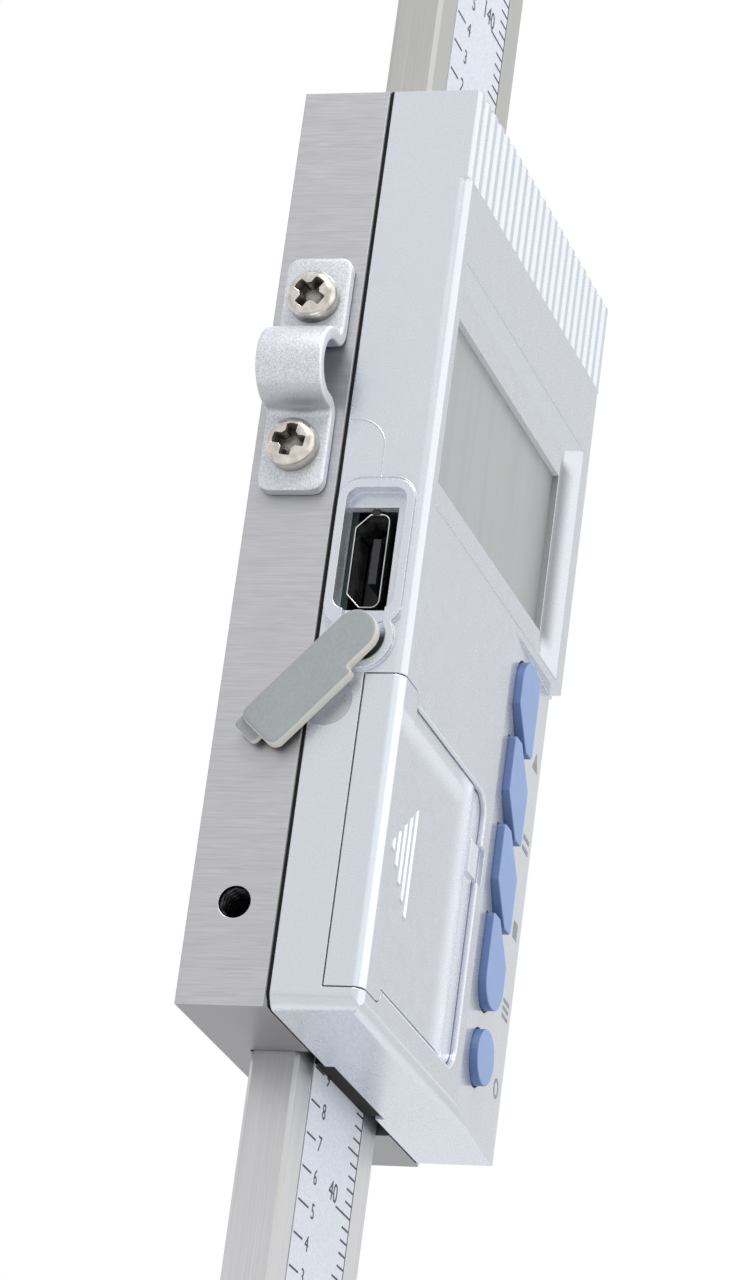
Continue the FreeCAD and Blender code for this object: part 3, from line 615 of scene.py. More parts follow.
def door_layers(place):
    """Painted highlights on the round edge, the bars, the right slope and an upper strip."""
    right = past(place, 0, *DOOR_SLOPE) * (1 - 0.6 * past(place, 0, *DOOR_RIM))
    bars = 0.9 * (1 - past(place, 1, *DOOR_BARS))
    sheen = right.most(0.45 * band(place, 2, *DOOR_TOP)).most(bars)
    edge = (looks(place, 0) * looks(place, 1)).between(0.08, 0.3)
    return sprayed(place) + [(edge, tone(214, 220, 228)),
                             (sheen * against(place, 1).between(0.7, 0.9), DOOR_SHEEN)]


def clip_layers(place):
    """A painted highlight on faces that look forward, and painted shade where the strip looks down."""
    return [(0.8 * against(place, 1).between(0.5, 0.9), tone(226, 229, 235)),
            (0.6 * against(place, 2).between(0.55, 0.95), tone(150, 153, 158))]


def greasy(place):
    """A painted shadow: a dark ring round the cover's stem, below its top."""
    middle = from_head(HINGE).tolist()
    away = place.node("VectorMath", {"operation": "DISTANCE"}, {0: place, 1: middle}, "Value")
    ring = 1 - away.between(*(radius * MM for radius in HINGE_SHADOW_RING))
    return 0.92 * ring * (1 - past(place, 2, *(HINGE[2] + rise for rise in HINGE_SHADOW_RISE)))


SILVER = (tone(183, 188, 194), tone(191, 196, 203))
SPRAY = (6000, 900, 0.65, 0.26, 0.0000003, 0.00012)
finishes["case_silver"] = silver_paint("case_silver_paint", *SILVER, case_layers, *SPRAY, greasy)
finishes["battery_door"] = silver_paint("door_silver_paint", *SILVER, door_layers, *SPRAY)
finishes["clip_silver"] = silver_paint("clip_speckled_paint", tone(178, 181, 186), tone(222, 225, 231),
                                       clip_layers, 13000, 5000, 0.5, 0.4, 0.000003, 0.00012)
print("painted:", list(finishes)[-3:])

# %% [markdown]
# ## Printed film, laminate and boards
# The ruler is a thin matt film over a coded strip. Film has a fine tooth that keeps ink on it. The strip
# and the circuit boards are glass laminate: a weave shows faintly through the lacquer, which crossed waves
# imitate. Ink and oil lie in uneven patches, and a recipe for those is kept for later.

# %% Film, laminate and ink
TOOTH, TOOTH_DEPTH, FILM_ROUND, WEAVE = 5200, 0.000008, 0.00005, 420.0

material, place = begin("label_film", {"Metallic": 0.0})
tooth = grain(place, TOOTH)
finishes["label_face"] = feed(material, {
    "Base Color": tooth.between(0.25, 0.75).blend(tone(197, 203, 214), tone(216, 220, 229)),
    "Roughness": 0.5 + 0.2 * (tooth - 0.5),
    "Normal": raised(place, tooth, TOOTH_DEPTH, soft_edge(place, FILM_ROUND))})


def laminate(name, base, lacquer, rough):
    """Glass laminate: two waves at right angles make the weave."""
    material, place = begin(name, {"Metallic": 0.0})
    waves = {"Vector": place, "Scale": WEAVE, "Distortion": 1.0}
    warp, weft = (place.node("TexWave", {"bands_direction": way}, waves, 1) for way in ("Z", "X"))
    weave = warp * 0.5 + weft * 0.5
    return feed(material, {"Base Color": weave.blend(base, lacquer), "Roughness": rough + 0.1 * weave})


def patchy(name, metal, dark, light, frequency, full, rough):
    """A coat that lies in patches, dark to light, duller where it is light."""
    material, place = begin(name, {"Metallic": metal})
    patches = grain(place, frequency, 3)
    return feed(material, {"Base Color": patches.between(0.3, full).blend(dark, light),
                           "Roughness": rough + 0.2 * patches})


finishes["board_green"] = laminate("board_solder_mask", tone(10, 30, 22), tone(18, 48, 34), 0.35)
finishes["strip_board"] = laminate("strip_etched_board", tone(92, 104, 62), tone(120, 130, 84), 0.4)
print("film and laminate:", list(finishes)[-3:])

# %% [markdown]
# ## Rubber and moulded plastic
# Keys, cover, seals and the connector's tongue are moulded. A mould leaves a fine matt grain and the pieces
# pick up a little dust, so colour and gloss wander slightly. The keys are a soft blue and the cover a grey
# rubber.

# %% Moulded pieces
DUST, GRAIN_DEPTH = 240, 0.000004


def moulded(name, base, worn, rim, rough, frequency, radius, side=None, axis=1, gloss=0.5):
    """Moulded rubber or plastic with a fine grain, a slow change of colour and a rim colour along its edges.

    With a side colour, faces that do not look against an axis take it.
    """
    material, place = begin(name, {"Metallic": 0.0, "Specular IOR Level": gloss})
    fine = grain(place, frequency)
    edge = soft_edge(place, radius)
    colour = (fine * 0.5 + grain(place, DUST, 3) * 0.5).between(0.3, 0.7).blend(base, worn)
    if side:
        colour = against(place, axis).between(0.4, 0.9).blend(side, colour)
    return feed(material, {
        "Base Color": edge_wear(place, edge).between(0.02, 0.4).blend(colour, rim),
        "Roughness": rough + 0.15 * (fine - 0.5),
        "Normal": raised(place, fine, GRAIN_DEPTH, edge)})


# The keys' darker rim and darker side colour are painted shade.
finishes["button_blue"] = moulded("key_blue_rubber", tone(124, 148, 191), tone(131, 154, 197),
                                  tone(113, 137, 185), 0.5, 5200, 0.00006, tone(82, 104, 152))
finishes["seal_black"] = moulded("seal_black_rubber", tone(12, 12, 13), tone(22, 22, 23),
                                 tone(30, 30, 31), 0.6, 4200, 0.00003, gloss=0.15)
finishes["tongue_black"] = moulded("tongue_black_plastic", tone(16, 17, 20), tone(28, 30, 34),
                                   tone(44, 46, 50), 0.4, 6000, 0.00005)
finishes["cover_grey"] = moulded("cover_grey_rubber", tone(138, 143, 146), tone(148, 153, 155),
                                 tone(198, 192, 178), 0.55, 4200, 0.0002, tone(200, 198, 191), 0)
print("moulded:", list(finishes)[-4:])

# %% [markdown]
# ## Window, display, plated metal and brass
# The window is a clear plate: a low Alpha lets the display through and leaves its gloss. The display is a
# grey polariser with faint upright streaks. Plated screws, contacts and the connector shell share one
# recipe that differs only in colour, gloss, how blotchy the plating is and how its recesses darken, partly
# as dirt and partly as painted shade.

# %% Clear, grey and bright
DISPLAY_SHADE, BLOTCH_DEPTH = tone(118, 119, 121), 0.00001


def polariser(name, dark, light, warm, shade=None):
    """Grey film with upright streaks and a warm tint; shade(place) gives the share that is darker."""
    material, place = begin(name, {"Metallic": 0.0})
    upright = grain(place, (900, 900, 40))
    tint = 0.35 * grain(place, (420, 420, 70)).between(0.4, 0.7)
    colour = tint.blend(upright.between(0.3, 0.7).blend(dark, light), warm)
    if shade:
        colour = shade(place).blend(colour, DISPLAY_SHADE)
    return feed(material, {"Base Color": colour, "Roughness": 0.3 + 0.2 * upright})


def plated(name, darker, bright, rough, frequency, radius, dirt_shade=(0.0009, 0.35, 0.9), soil_shade=tone(74, 69, 62)):
    """Bright plating, blotchy in colour and gloss; dirt_shade is a reach and where it starts and is full.

    Dirt and painted shade in recesses are no metal, so they take most of the metallic share away.
    """
    material, place = begin(name, {})
    blotch = grain(place, frequency, 3)
    dirty_shaded = grime(place, dirt_shade[0]).between(*dirt_shade[1:])
    return feed(material, {
        "Base Color": dirty_shaded.blend(blotch.between(0.3, 0.7).blend(darker, bright), soil_shade),
        "Metallic": 1 - 0.7 * dirty_shaded,
        "Roughness": rough + 0.2 * (blotch - 0.5),
        "Normal": raised(place, blotch, BLOTCH_DEPTH, soft_edge(place, radius))})


material, place = begin("window_clear", {"Base Color": tone(236, 238, 240), "Alpha": 0.08, "IOR": 1.49})
finishes["lens_clear"] = feed(material, {"Roughness": 0.02 + 0.06 * grain(place, 500, 4)})
finishes["lcd_grey"] = polariser("display_polariser", tone(150, 150, 151), tone(160, 161, 162),
                                 tone(168, 166, 158))
finishes["screw_nickel"] = plated("screw_nickel_plate", tone(186, 180, 171), tone(214, 209, 202),
                                  0.24, 1400, 0.00006, (0.0013, 0.16, 0.6))
finishes["screw_steel"] = plated("screw_zinc_plate", tone(160, 161, 164), tone(190, 191, 194),
                                 0.32, 1400, 0.00006)
finishes["contact_metal"] = plated("contact_nickel_plate", tone(196, 190, 176), tone(216, 210, 196),
                                   0.28, 1200, 0.00004)
finishes["shell_chrome"] = plated("shell_bright_tin", tone(186, 186, 184), tone(222, 222, 220),
                                  0.18, 900, 0.00003, (0.003, 0.45, 0.75), tone(14, 14, 15))
finishes["cell_can"] = plated("cell_satin_can", tone(184, 184, 183), tone(206, 206, 205), 0.34, 800, 0.0001)
finishes["gib_brass"] = plated("gib_rolled_brass", tone(176, 140, 72), tone(204, 170, 100),
                               0.35, 900, 0.00008)
print("finishes in all:", len(finishes))

# %% [markdown]
# ## Finishes on the solids
# The record says which slot each solid takes its finish from, so one loop dresses them all. The battery
# door has a finish of its own, under its own name.

# %% Dress the solids
for part in frame["record"]["subparts"]:
    for slot in frame["nodes"][part["node"]].material_slots:
        slot.material = finishes.get(part["node"], finishes[part["material_slot"]])

# %% [markdown]
# ## Key caps
# Four long keys and a round one stand out of the tilted panel. The long keys have slanted ends, so that
# each nests beside the next; the lowest and the highest have one round end. Under the panel each has a
# flange that keeps it in and a stem over its switch. The cap is a soft slab with a slight crown, as rubber
# keys have.

# %% Make the keys
KEY_LEFT, KEY_WIDTH, KEY_LENGTH, KEY_PITCH, KEY_FIRST = 26.9, 4.7, 7.65, 7.3, 9.3
KEY_SLANT, KEY_SLANT_WIDTH, KEY_CORNER, KEY_END, KEY_TRIM = 3.0, 1.7, 0.35, 2.2, 0.5
KEY_EDGE, KEY_CROWN, KEY_ROOT, LONG_KEYS = 0.13, 0.04, -4.9, 4
ROUND_KEY_Z, ROUND_KEY_RADIUS, ROUND_KEY_FLAT = 5.9, 2.2, 0.001
HIDDEN_CORNER, HIDDEN_EDGE = 0.2, 0.05
# Half width, half height and both ends of what a key has under the panel
FLANGE, STEM = (2.85, 2.8, -4.7, -5.3), (1.2, 1.2, KEY_ROOT, -2.95)
key_middle = KEY_LEFT + KEY_WIDTH / 2
key_front = head_box("button_1")[0][1]


def key_outline(index):
    """Corners of key number index from the bottom, in x and z; -1 is the round key."""
    if index < 0:
        return about(key_middle, ROUND_KEY_Z, ROUND_KEY_RADIUS, ROUND_KEY_RADIUS,
                     ROUND_KEY_RADIUS - ROUND_KEY_FLAT)
    right = KEY_LEFT + KEY_WIDTH
    low = KEY_FIRST + index * KEY_PITCH
    high = low + KEY_LENGTH
    lower = [(KEY_LEFT, low + KEY_SLANT, KEY_CORNER), (right - KEY_SLANT_WIDTH, low, KEY_CORNER),
             (right, low, KEY_CORNER)]
    upper = [(right, high - KEY_SLANT, KEY_CORNER), (KEY_LEFT + KEY_SLANT_WIDTH, high, KEY_CORNER),
             (KEY_LEFT, high, KEY_CORNER)]
    if index == 0:
        lower = [(KEY_LEFT, low + KEY_TRIM, KEY_END), (right, low + KEY_TRIM, KEY_END)]
    if index == LONG_KEYS - 1:
        upper = [(right, high - KEY_TRIM, KEY_END), (KEY_LEFT, high - KEY_TRIM, KEY_END)]
    return lower + upper


for index in range(-1, LONG_KEYS):
    count = LONG_KEYS - index
    z = ROUND_KEY_Z if index < 0 else KEY_FIRST + index * KEY_PITCH + KEY_LENGTH / 2
    cap = soft_slab(key_outline(index), KEY_ROOT, key_front + KEY_CROWN, KEY_EDGE, crown=KEY_CROWN)
    hidden = [soft_slab(about(key_middle, z, wide, tall, HIDDEN_CORNER), base, top, HIDDEN_EDGE, steps=3)
              for wide, tall, base, top in (FLANGE, STEM)]
    piece("key_cap_%d" % count, "button_%d" % count, "button_blue",
          [stand(shape, *BACKWARD) for shape in (cap, *hidden)], stands_for=["button_%d" % count])

# %% [markdown]
# ## The printed ruler
# The left edge of the film is divided in tenths of an inch and the right edge in millimetres, both counted
# from a zero near the lower end. Ink has a thickness, so each tick is a very flat block; hundreds of them
# are one array. Digits come from Blender's own font: each is made a mesh once, read back as arrays, and
# then copied by numpy.

# %% Tools for ink
INK = 0.02
DIGIT_STEP = 0.713


def blocks(x0, x1, y0, y1, z0, z1):
    """Many boxes at once: the corners are all low and high values of each axis taken together."""
    low = np.stack(np.broadcast_arrays(x0, y0, z0), axis=-1).reshape(-1, 1, 3).astype(float)
    high = np.stack(np.broadcast_arrays(x1, y1, z1), axis=-1).reshape(-1, 1, 3).astype(float)
    pick = np.array([[k & 1, k >> 1 & 1, k >> 2 & 1] for k in range(8)])
    points = np.where(pick, high, low)
    faces = np.array([[0, 2, 3, 1], [4, 5, 7, 6], [0, 1, 5, 4], [2, 6, 7, 3], [0, 4, 6, 2], [1, 3, 7, 5]])
    corners = faces.ravel() + 8 * np.arange(len(points))[:, None]
    return points.reshape(-1, 3), corners.ravel(), np.full(6 * len(points), 4)


def read_digit(digit):
    """A digit one unit tall about its own middle, as a shape in (u, v, h) that is one unit thick."""
    curve = bpy.data.curves.new("digit", "FONT")
    curve.body = digit
    curve.resolution_u = 3
    curve.extrude = 0.5
    holder = put("digit", curve)
    mesh = bpy.data.meshes.new_from_object(holder.evaluated_get(bpy.context.evaluated_depsgraph_get()))
    points = np.empty(len(mesh.vertices) * 3)
    corners = np.empty(len(mesh.loops), int)
    sizes = np.empty(len(mesh.polygons), int)
    mesh.vertices.foreach_get("co", points)
    mesh.loops.foreach_get("vertex_index", corners)
    mesh.polygons.foreach_get("loop_total", sizes)
    bpy.data.objects.remove(holder)
    points = points.reshape(-1, 3)
    low, high = points.min(axis=0), points.max(axis=0)
    tall = high[1] - low[1]
    return (points - (low + high) / 2) / [tall, tall, 1], corners, sizes


digits = {str(k): read_digit(str(k)) for k in range(10)}


def number(text, x, y, z, height):
    """The digits of a number side by side about a place, as ink on a face that looks forward."""
    across = x + (np.arange(len(text)) - (len(text) - 1) / 2) * DIGIT_STEP * height
    return [stand(digits[digit], (height, 0, 0), (0, 0, height), (0, -INK, 0), (u, y - INK / 2, z))
            for digit, u in zip(text, across)]


print("faces in a digit:", [len(digits[key][2]) for key in digits])

# %% Print the ruler
ZERO_HEIGHT, INCH, TICK, BARE_END, BORDER, RIGHT_BORDER = 22.0, 25.4, 0.16, 2, 0.3, 0.02
TENTH_TICKS, MM_TICKS = (3.1, 2.5, 2.1), (3.6, 2.5, 1.6)
WHOLE_INCH, TENTH, TEN_MM = (1.7, 1.3), (1.2, 1.07), (1.5, 1.03, 0.87)
film_low, film_high = beam_box("scale_label")
film_front = film_low[1]
room = film_high[2] - BARE_END - ZERO_HEIGHT


def tick_lengths(count, lengths):
    """One length where ten divides the count, another where five does, and a third for the rest."""
    return np.where(count % 10 == 0, lengths[0], np.where(count % 5 == 0, lengths[1], lengths[2]))


def ticks(start, end, z):
    """Level lines of ink from start to end at each height."""
    return blocks(start, end, film_front - INK, film_front, z - TICK / 2, z + TICK / 2)


tenths = np.arange(int(room / (INCH / 10)) + 1)
tenth_z = ZERO_HEIGHT + tenths * INCH / 10
tenth_start = film_low[0] + BORDER
tenth_end = tenth_start + tick_lengths(tenths, TENTH_TICKS)
millimetres = np.arange(int(room) + 1)
mm_z = ZERO_HEIGHT + millimetres
mm_start = film_high[0] - tick_lengths(millimetres, MM_TICKS)
ink = [ticks(tenth_start, tenth_end, tenth_z), ticks(mm_start, film_high[0] - RIGHT_BORDER, mm_z)]
for k in tenths[1:]:
    count, (height, gap) = (k % 10, TENTH) if k % 10 else (k // 10, WHOLE_INCH)
    ink += number(str(count), tenth_end[k] + gap, film_front, tenth_z[k], height)
for k in millimetres[::10]:
    height, gap, rise = TEN_MM
    ink += number(str(k), mm_start[k] - gap, film_front, mm_z[k] + rise, height)
piece("ruler_print", "beam", "seal_black", ink, place=from_beam,
      finish=patchy("ruler_ink", 0.0, tone(34, 36, 42), tone(66, 70, 80), 3000, 0.75, 0.45))

# %% [markdown]
# ## Screw heads
# A screw head is a height over a disc: a dome, less a recess. The recess of a cross head is the deeper of
# two crossed slots with sloped walls, and that of a set screw is a hexagon. Both are functions of the two
# coordinates on the disc, so one function makes every screw here and takes the recess as a parameter.

# %% Recesses of screws
CROSS_WALL, HEXAGON_WALL, CROSS_CORE = 0.1, 0.06, 1.9


def step(value, width):
    """0 below zero, 1 above a width, and a smooth ramp s s (3 - 2 s) between."""
    share = np.clip(value / width, 0, 1)
    return share * share * (3 - 2 * share)


def cross(u, v, half, reach, turn):
    """1 inside a cross with arms of a half width and a reach, turned by an angle, with sloped walls."""
    p = u * math.cos(turn) + v * math.sin(turn)
    q = v * math.cos(turn) - u * math.sin(turn)
    first = step(half - np.abs(p), CROSS_WALL) * step(reach - np.abs(q), 2 * CROSS_WALL)
    second = step(half - np.abs(q), CROSS_WALL) * step(reach - np.abs(p), 2 * CROSS_WALL)
    core = step(CROSS_CORE * half - np.hypot(p, q), 2 * CROSS_WALL)
    return np.maximum(np.maximum(first, second), core)


def hexagon(u, v, half, turn):
    """1 inside a hexagon with a half width across its flats: three pairs of sides, 60 degrees apart."""
    angle = turn + np.arange(3)[:, None, None] * math.pi / 3
    return step(half - np.abs(u * np.cos(angle) + v * np.sin(angle)).max(axis=0), HEXAGON_WALL)


print("a cross is", float(cross(0, 0, 0.4, 1.3, 0)), "deep in its middle")

# %% A screw
SCREW_AROUND, DOME_START, RIM, TIP = 120, 0.62, 0.06, 0.3
# Even rings as far as a recess reaches, then closer ones towards the rim
HEAD_RINGS = np.concatenate([np.linspace(0, 0.72, 34), np.sin(np.linspace(0.81, math.pi / 2, 10))[1:]])


def screw(head_radius, head_height, dome, recess, depth, shank_radius, shank_length):
    """A screw in (u, v, h), its head standing on h = 0 and its shank below.

    The top is flat out to a share of the radius. From there to the rim, with s from 0 to 1, it falls by
    dome (1 - sqrt(1 - s s)); the recess comes off as well. The rings go from the middle of the head out to
    its rim, under it, and down the shank to the tip.
    """
    angle = np.arange(SCREW_AROUND) / SCREW_AROUND * 2 * math.pi
    radius = HEAD_RINGS[:, None] * head_radius
    u, v = radius * np.cos(angle), radius * np.sin(angle)
    fall = np.clip((HEAD_RINGS[:, None] - DOME_START) / (1 - DOME_START), 0, 1)
    height = head_height - dome * (1 - np.sqrt(1 - fall ** 2)) - depth * recess(u, v)
    under = turned_rings([(head_radius, RIM), (head_radius - RIM, 0), (shank_radius, 0),
                          (shank_radius, TIP - shank_length), (shank_radius - TIP, -shank_length),
                          (0, -shank_length)], SCREW_AROUND)
    return skin(np.concatenate([np.stack([u, v, height], axis=-1), under]), "open")


print("rings over a screw head:", len(HEAD_RINGS))

# %% Screws of the clip, the case and the gib
CLIP_THICKNESS, CLIP_MIDDLE, CLIP_WIDTH, CLIP_LENGTH = 1.05, 49.75, 5.2, 19.3
CLIP_SCREWS, CLIP_TURNS, BLOCK_MIDDLE = (43.65, 55.85), (0.15, 0.62), 3.5
CASE_RADIUS, CASE_HEIGHT, CASE_TURN, SHANK = 1.9, 1.2, 0.4, 1.0
GIB_RADIUS, GIB_COLLAR, GIB_DOME, GIB_FIT = 1.25, 0.4, 0.2, 0.02
HEXAGON_HALF, HEXAGON_TURN, HEXAGON_DEPTH = 0.66, 0.3, 1.0
# Radius, height and dome of a head; half width, reach and depth of its cross; length of the shank
PAN_HEAD = (2.0, 1.5, 0.75, 0.42, 1.3, 1.1, 5.0)
FLAT_HEAD = (CASE_RADIUS, CASE_HEIGHT, 0.35, 0.34, 1.2, 0.8, 8.6)


def cross_head(turn, radius, height, dome, half, reach, depth, length):
    """A screw with a cross that is turned by an angle."""
    return screw(radius, height, dome, lambda u, v: cross(u, v, half, reach, turn), depth, SHANK, length)


pan_heads = [stand(cross_head(turn, *PAN_HEAD), *LEFTWARD, (-CLIP_THICKNESS, BLOCK_MIDDLE, z))
             for z, turn in zip(CLIP_SCREWS, CLIP_TURNS)]
piece("clip_screw_heads", "head", "screw_nickel", pan_heads, stands_for=["clip_screws"])

case_low, case_high = head_box("case_screws")
flat_heads = [stand(cross_head(CASE_TURN + x + z, *FLAT_HEAD), *BACKWARD, (x, case_high[1] - CASE_HEIGHT, z))
              for x in (case_low[0] + CASE_RADIUS, case_high[0] - CASE_RADIUS)
              for z in (case_low[2] + CASE_RADIUS, case_high[2] - CASE_RADIUS)]
piece("case_screw_heads", "head", "screw_steel", flat_heads, stands_for=["case_screws"])

gib_low, gib_high = head_box("gib_screws")
set_screw = screw(GIB_RADIUS, GIB_COLLAR, GIB_DOME, lambda u, v: hexagon(u, v, HEXAGON_HALF, HEXAGON_TURN),
                  HEXAGON_DEPTH, GIB_RADIUS - GIB_FIT, gib_high[0] - gib_low[0] - GIB_COLLAR)
piece("gib_set_screws", "head", "screw_steel",
      [stand(set_screw, *RIGHTWARD, (gib_high[0] - GIB_COLLAR, (gib_low[1] + gib_high[1]) / 2, z))
       for z in (gib_low[2] + GIB_RADIUS, gib_high[2] - GIB_RADIUS)], stands_for=["gib_screws"])

# %% [markdown]
# ## The cable clip
# A strip of sheet metal is bent over where a cable would lie: two feet, two small bends and a half-round
# saddle. Its section is a rectangle with rolled edges. Carried along the bent line it makes the whole clip,
# and near both ends the section narrows along a quarter circle, which gives the feet their round corners.

# %% Tools for the clip


def along(points, normals, distances):
    """Points and normals at distances along a line, by straight interpolation between its own points."""
    run = np.concatenate([[0], np.cumsum(np.linalg.norm(np.diff(points, axis=0), axis=1))])
    table = np.concatenate([points, normals], axis=1)
    found = np.stack([np.interp(distances, run, column) for column in table.T], axis=-1)
    return found[:, :2], found[:, 2:]


def quarter(distance, radius):
    """How far a round corner cuts in at a distance from the end: radius less a quarter circle's height."""
    left = np.clip(radius - distance, 0, radius)
    return radius - np.sqrt(radius ** 2 - left ** 2)


print("a corner of 1 mm cuts in", round(float(quarter(0.5, 1.0)), 3), "mm at half a millimetre")

# %% Bend the clip
CLIP_INNER, CLIP_BEND, CLIP_CORNER, CLIP_EDGE = 2.05, 0.6, 1.0, 0.24
CLIP_RINGS, CLIP_END_RINGS, CLIP_STEPS, CLIP_EDGE_STEPS = 110, 10, 14, 6

half_sheet = CLIP_THICKNESS / 2
saddle = CLIP_INNER + half_sheet
crest = 2 * (CLIP_INNER + CLIP_THICKNESS) - 3 * half_sheet
foot_bend = CLIP_BEND + half_sheet
half_clip = [(half_sheet, -CLIP_LENGTH / 2, 0), (half_sheet, -saddle, foot_bend), (crest, -saddle, saddle)]
whole_clip = half_clip + [(x, -z, radius) for x, z, radius in half_clip[::-1]]
bent_line = rounded([(x, CLIP_MIDDLE + z, radius) for x, z, radius in whole_clip], CLIP_STEPS, closed=False)
clip_run = np.linalg.norm(np.diff(bent_line[0], axis=0), axis=1).sum()
near_end = CLIP_CORNER * (1 - np.cos(np.linspace(0, math.pi / 2, CLIP_END_RINGS)))
between_ends = np.linspace(CLIP_CORNER, clip_run - CLIP_CORNER, CLIP_RINGS)[1:-1]
distances = np.concatenate([near_end, between_ends, clip_run - near_end[::-1]])
from_end = np.minimum(distances, clip_run - distances)[:, None]
middle_line, facing_out = along(*bent_line, distances)
section = rounded(about(0, 0, CLIP_WIDTH / 2, half_sheet, CLIP_EDGE), CLIP_EDGE_STEPS)[0]
roll = quarter(from_end, CLIP_EDGE)
width_now = np.abs(section[:, 0]) - quarter(from_end, CLIP_CORNER) - roll
thick_now = np.sign(section[:, 1]) * np.clip(np.abs(section[:, 1]) - roll, 0, None)
clip_rings = np.stack([-(middle_line[:, :1] + thick_now * facing_out[:, :1]),
                       BLOCK_MIDDLE + np.sign(section[:, 0]) * width_now,
                       middle_line[:, 1:] + thick_now * facing_out[:, 1:]], axis=-1)
piece("bent_cable_clip", "head", "clip_silver", [skin(clip_rings)], stands_for=["cable_clip"])

# %% [markdown]
# ## The port cover
# A small rubber strap turns on a round stem beside the port. It is drawn closed, as an outline about its
# pivot with a round lug, a shoulder and a thin lip, and then laid along directions that are already turned
# to the open place. That way the corners of the outline stay plain numbers.

# %% Mould the cover
OPEN_ANGLE = math.radians(138.6)
COVER_IN, COVER_OUT, COVER_EDGE, COVER_CORNER, SHOULDER_CORNER = 0.5, 1.7, 0.22, 0.8, 0.3
LUG, LUG_FLAT, STRAP_BACK, SHOULDER, STRAP_TIP = 1.65, 0.01, 2.3, 2.3, 10.4
LIP_SIDE, LIP_BACK, LIP_UNDER, LIP_TIP, LIP_STEP, LIP_OUT = 0.05, 0.7, 1.6, 11.2, 0.03, 1.2
LIP_CORNER, LIP_EDGE, STEM_RADIUS, STEM_ROOT = 0.4, 0.16, 0.8, 0.2
STEM_KNOB = [(STEM_RADIUS, -1.6), (1.05, -1.68), (1.15, -1.85), (1.1, -2.1), (0.9, -2.3), (0, -2.3)]
open_across = (0, math.cos(OPEN_ANGLE), -math.sin(OPEN_ANGLE))
open_along = (0, math.sin(OPEN_ANGLE), math.cos(OPEN_ANGLE))
OPENED = (open_across, open_along, (-1, 0, 0), (0, *HINGE[1:]))
lug_corner, stem_top = LUG - LUG_FLAT, COVER_IN + STEM_ROOT
strap = soft_slab([(-LUG, -LUG, lug_corner), (LUG, -LUG, lug_corner), (LUG, SHOULDER, SHOULDER_CORNER),
                   (STRAP_BACK, SHOULDER, SHOULDER_CORNER), (STRAP_BACK, STRAP_TIP, COVER_CORNER),
                   (-LUG, STRAP_TIP, COVER_CORNER)], COVER_IN, COVER_OUT, COVER_EDGE)
lip = soft_slab(rectangle(LIP_SIDE - LUG, LIP_BACK, STRAP_TIP - LIP_UNDER, LIP_TIP, LIP_CORNER),
                COVER_IN + LIP_STEP, LIP_OUT, LIP_EDGE)
stem_profile = [(0, stem_top), (STEM_RADIUS, stem_top), *STEM_KNOB]
piece("rubber_port_cover", "port_cover", "cover_grey",
      [stand(shape, *OPENED) for shape in (strap, lip, turned(stem_profile, SMALL_ROUND))],
      stands_for=["port_cover"])

# %% [markdown]
# ## Threads in the tapped holes
# The solids have plain holes of the tapping size. A thread's crest is a ridge that climbs as it goes round:
# its radius depends on the height less the share of a turn. The ridge is a thin sleeve inside each hole,
# closed by an outer wall that lies in the steel.

# %% Cut the threads
THREAD_RADIUS, THREAD_PITCH, THREAD_DEPTH, THREAD_GAP, THREAD_WALL = 1.25, 0.5, 0.17, 0.005, 0.1
THREAD_AROUND, ROWS_PER_TURN = 40, 8
THREAD_START, SIDE_LENGTH, SIDE_HEIGHT, BACK_LENGTH, BLOCK_DEPTH = 0.02, 7.9, 7.9, 4.9, 7.0
HEAD_MIDDLE, BACK_SPACING = (20.5, 37.0), (29.5, 46.0)


def thread(length):
    """A sleeve whose inner radius is R - depth * ridge, where ridge = max(0, 1 - 3 |f|) and f is how far, in
    pitches, a point is from the nearest crest of the helix height / pitch = angle / one turn."""
    height = np.linspace(0, length, int(length / THREAD_PITCH * ROWS_PER_TURN) + 1)[:, None]
    turn = np.arange(THREAD_AROUND)[None] / THREAD_AROUND
    lap = height / THREAD_PITCH - turn
    ridge = np.clip(1 - 3 * np.abs(lap - np.round(lap)), 0, 1) * np.clip(height / THREAD_PITCH, 0, 1)
    outer = np.full((2, THREAD_AROUND), THREAD_RADIUS + THREAD_WALL)
    radius = np.concatenate([THREAD_RADIUS - THREAD_GAP - THREAD_DEPTH * ridge, outer])
    depth = np.broadcast_to(np.concatenate([height, [[length], [0]]]), radius.shape)
    angle = 2 * math.pi * turn
    return skin(np.stack([radius * np.cos(angle), radius * np.sin(angle), depth], axis=-1), "loop")


threads = [stand(thread(SIDE_LENGTH), *RIGHTWARD, (THREAD_START, BLOCK_MIDDLE, SIDE_HEIGHT))]
back_x, back_z = ((middle - gap / 2, middle + gap / 2) for middle, gap in zip(HEAD_MIDDLE, BACK_SPACING))
threads += [stand(thread(BACK_LENGTH), *FORWARD, (x, BLOCK_DEPTH - THREAD_START, z))
            for x in back_x for z in back_z]
# The dark grey of the threads is painted shade that keeps the tapped holes dark.
piece("tapped_threads", "head", "block_steel", threads,
      finish=patchy("thread_shaded_steel", 1.0, tone(52, 52, 54), tone(84, 84, 87), 2400, 0.7, 0.3))

# %% [markdown]
# ## Stop pins and coin cell
# The two stop pins on the beam have a crowned, slotless top. The coin cell, seen when the battery door is
# slid off, is a drawn can with a rolled rim, a shallow ring and a raised plus. Both are lathe work,
# and the plus is two crossed bars.

# %% Turn the pins
PIN_RADIUS, PIN_CROWN = 1.0, 0.3


def rolled_rim(radius, height, size):
    """Points of a quarter circle over a rim: in by size (1 - cos a) and down by size (1 - sin a)."""
    arc = np.linspace(0, math.pi / 2, 6)
    return np.stack([radius - size * (1 - np.cos(arc)), height - size * (1 - np.sin(arc))], axis=-1)


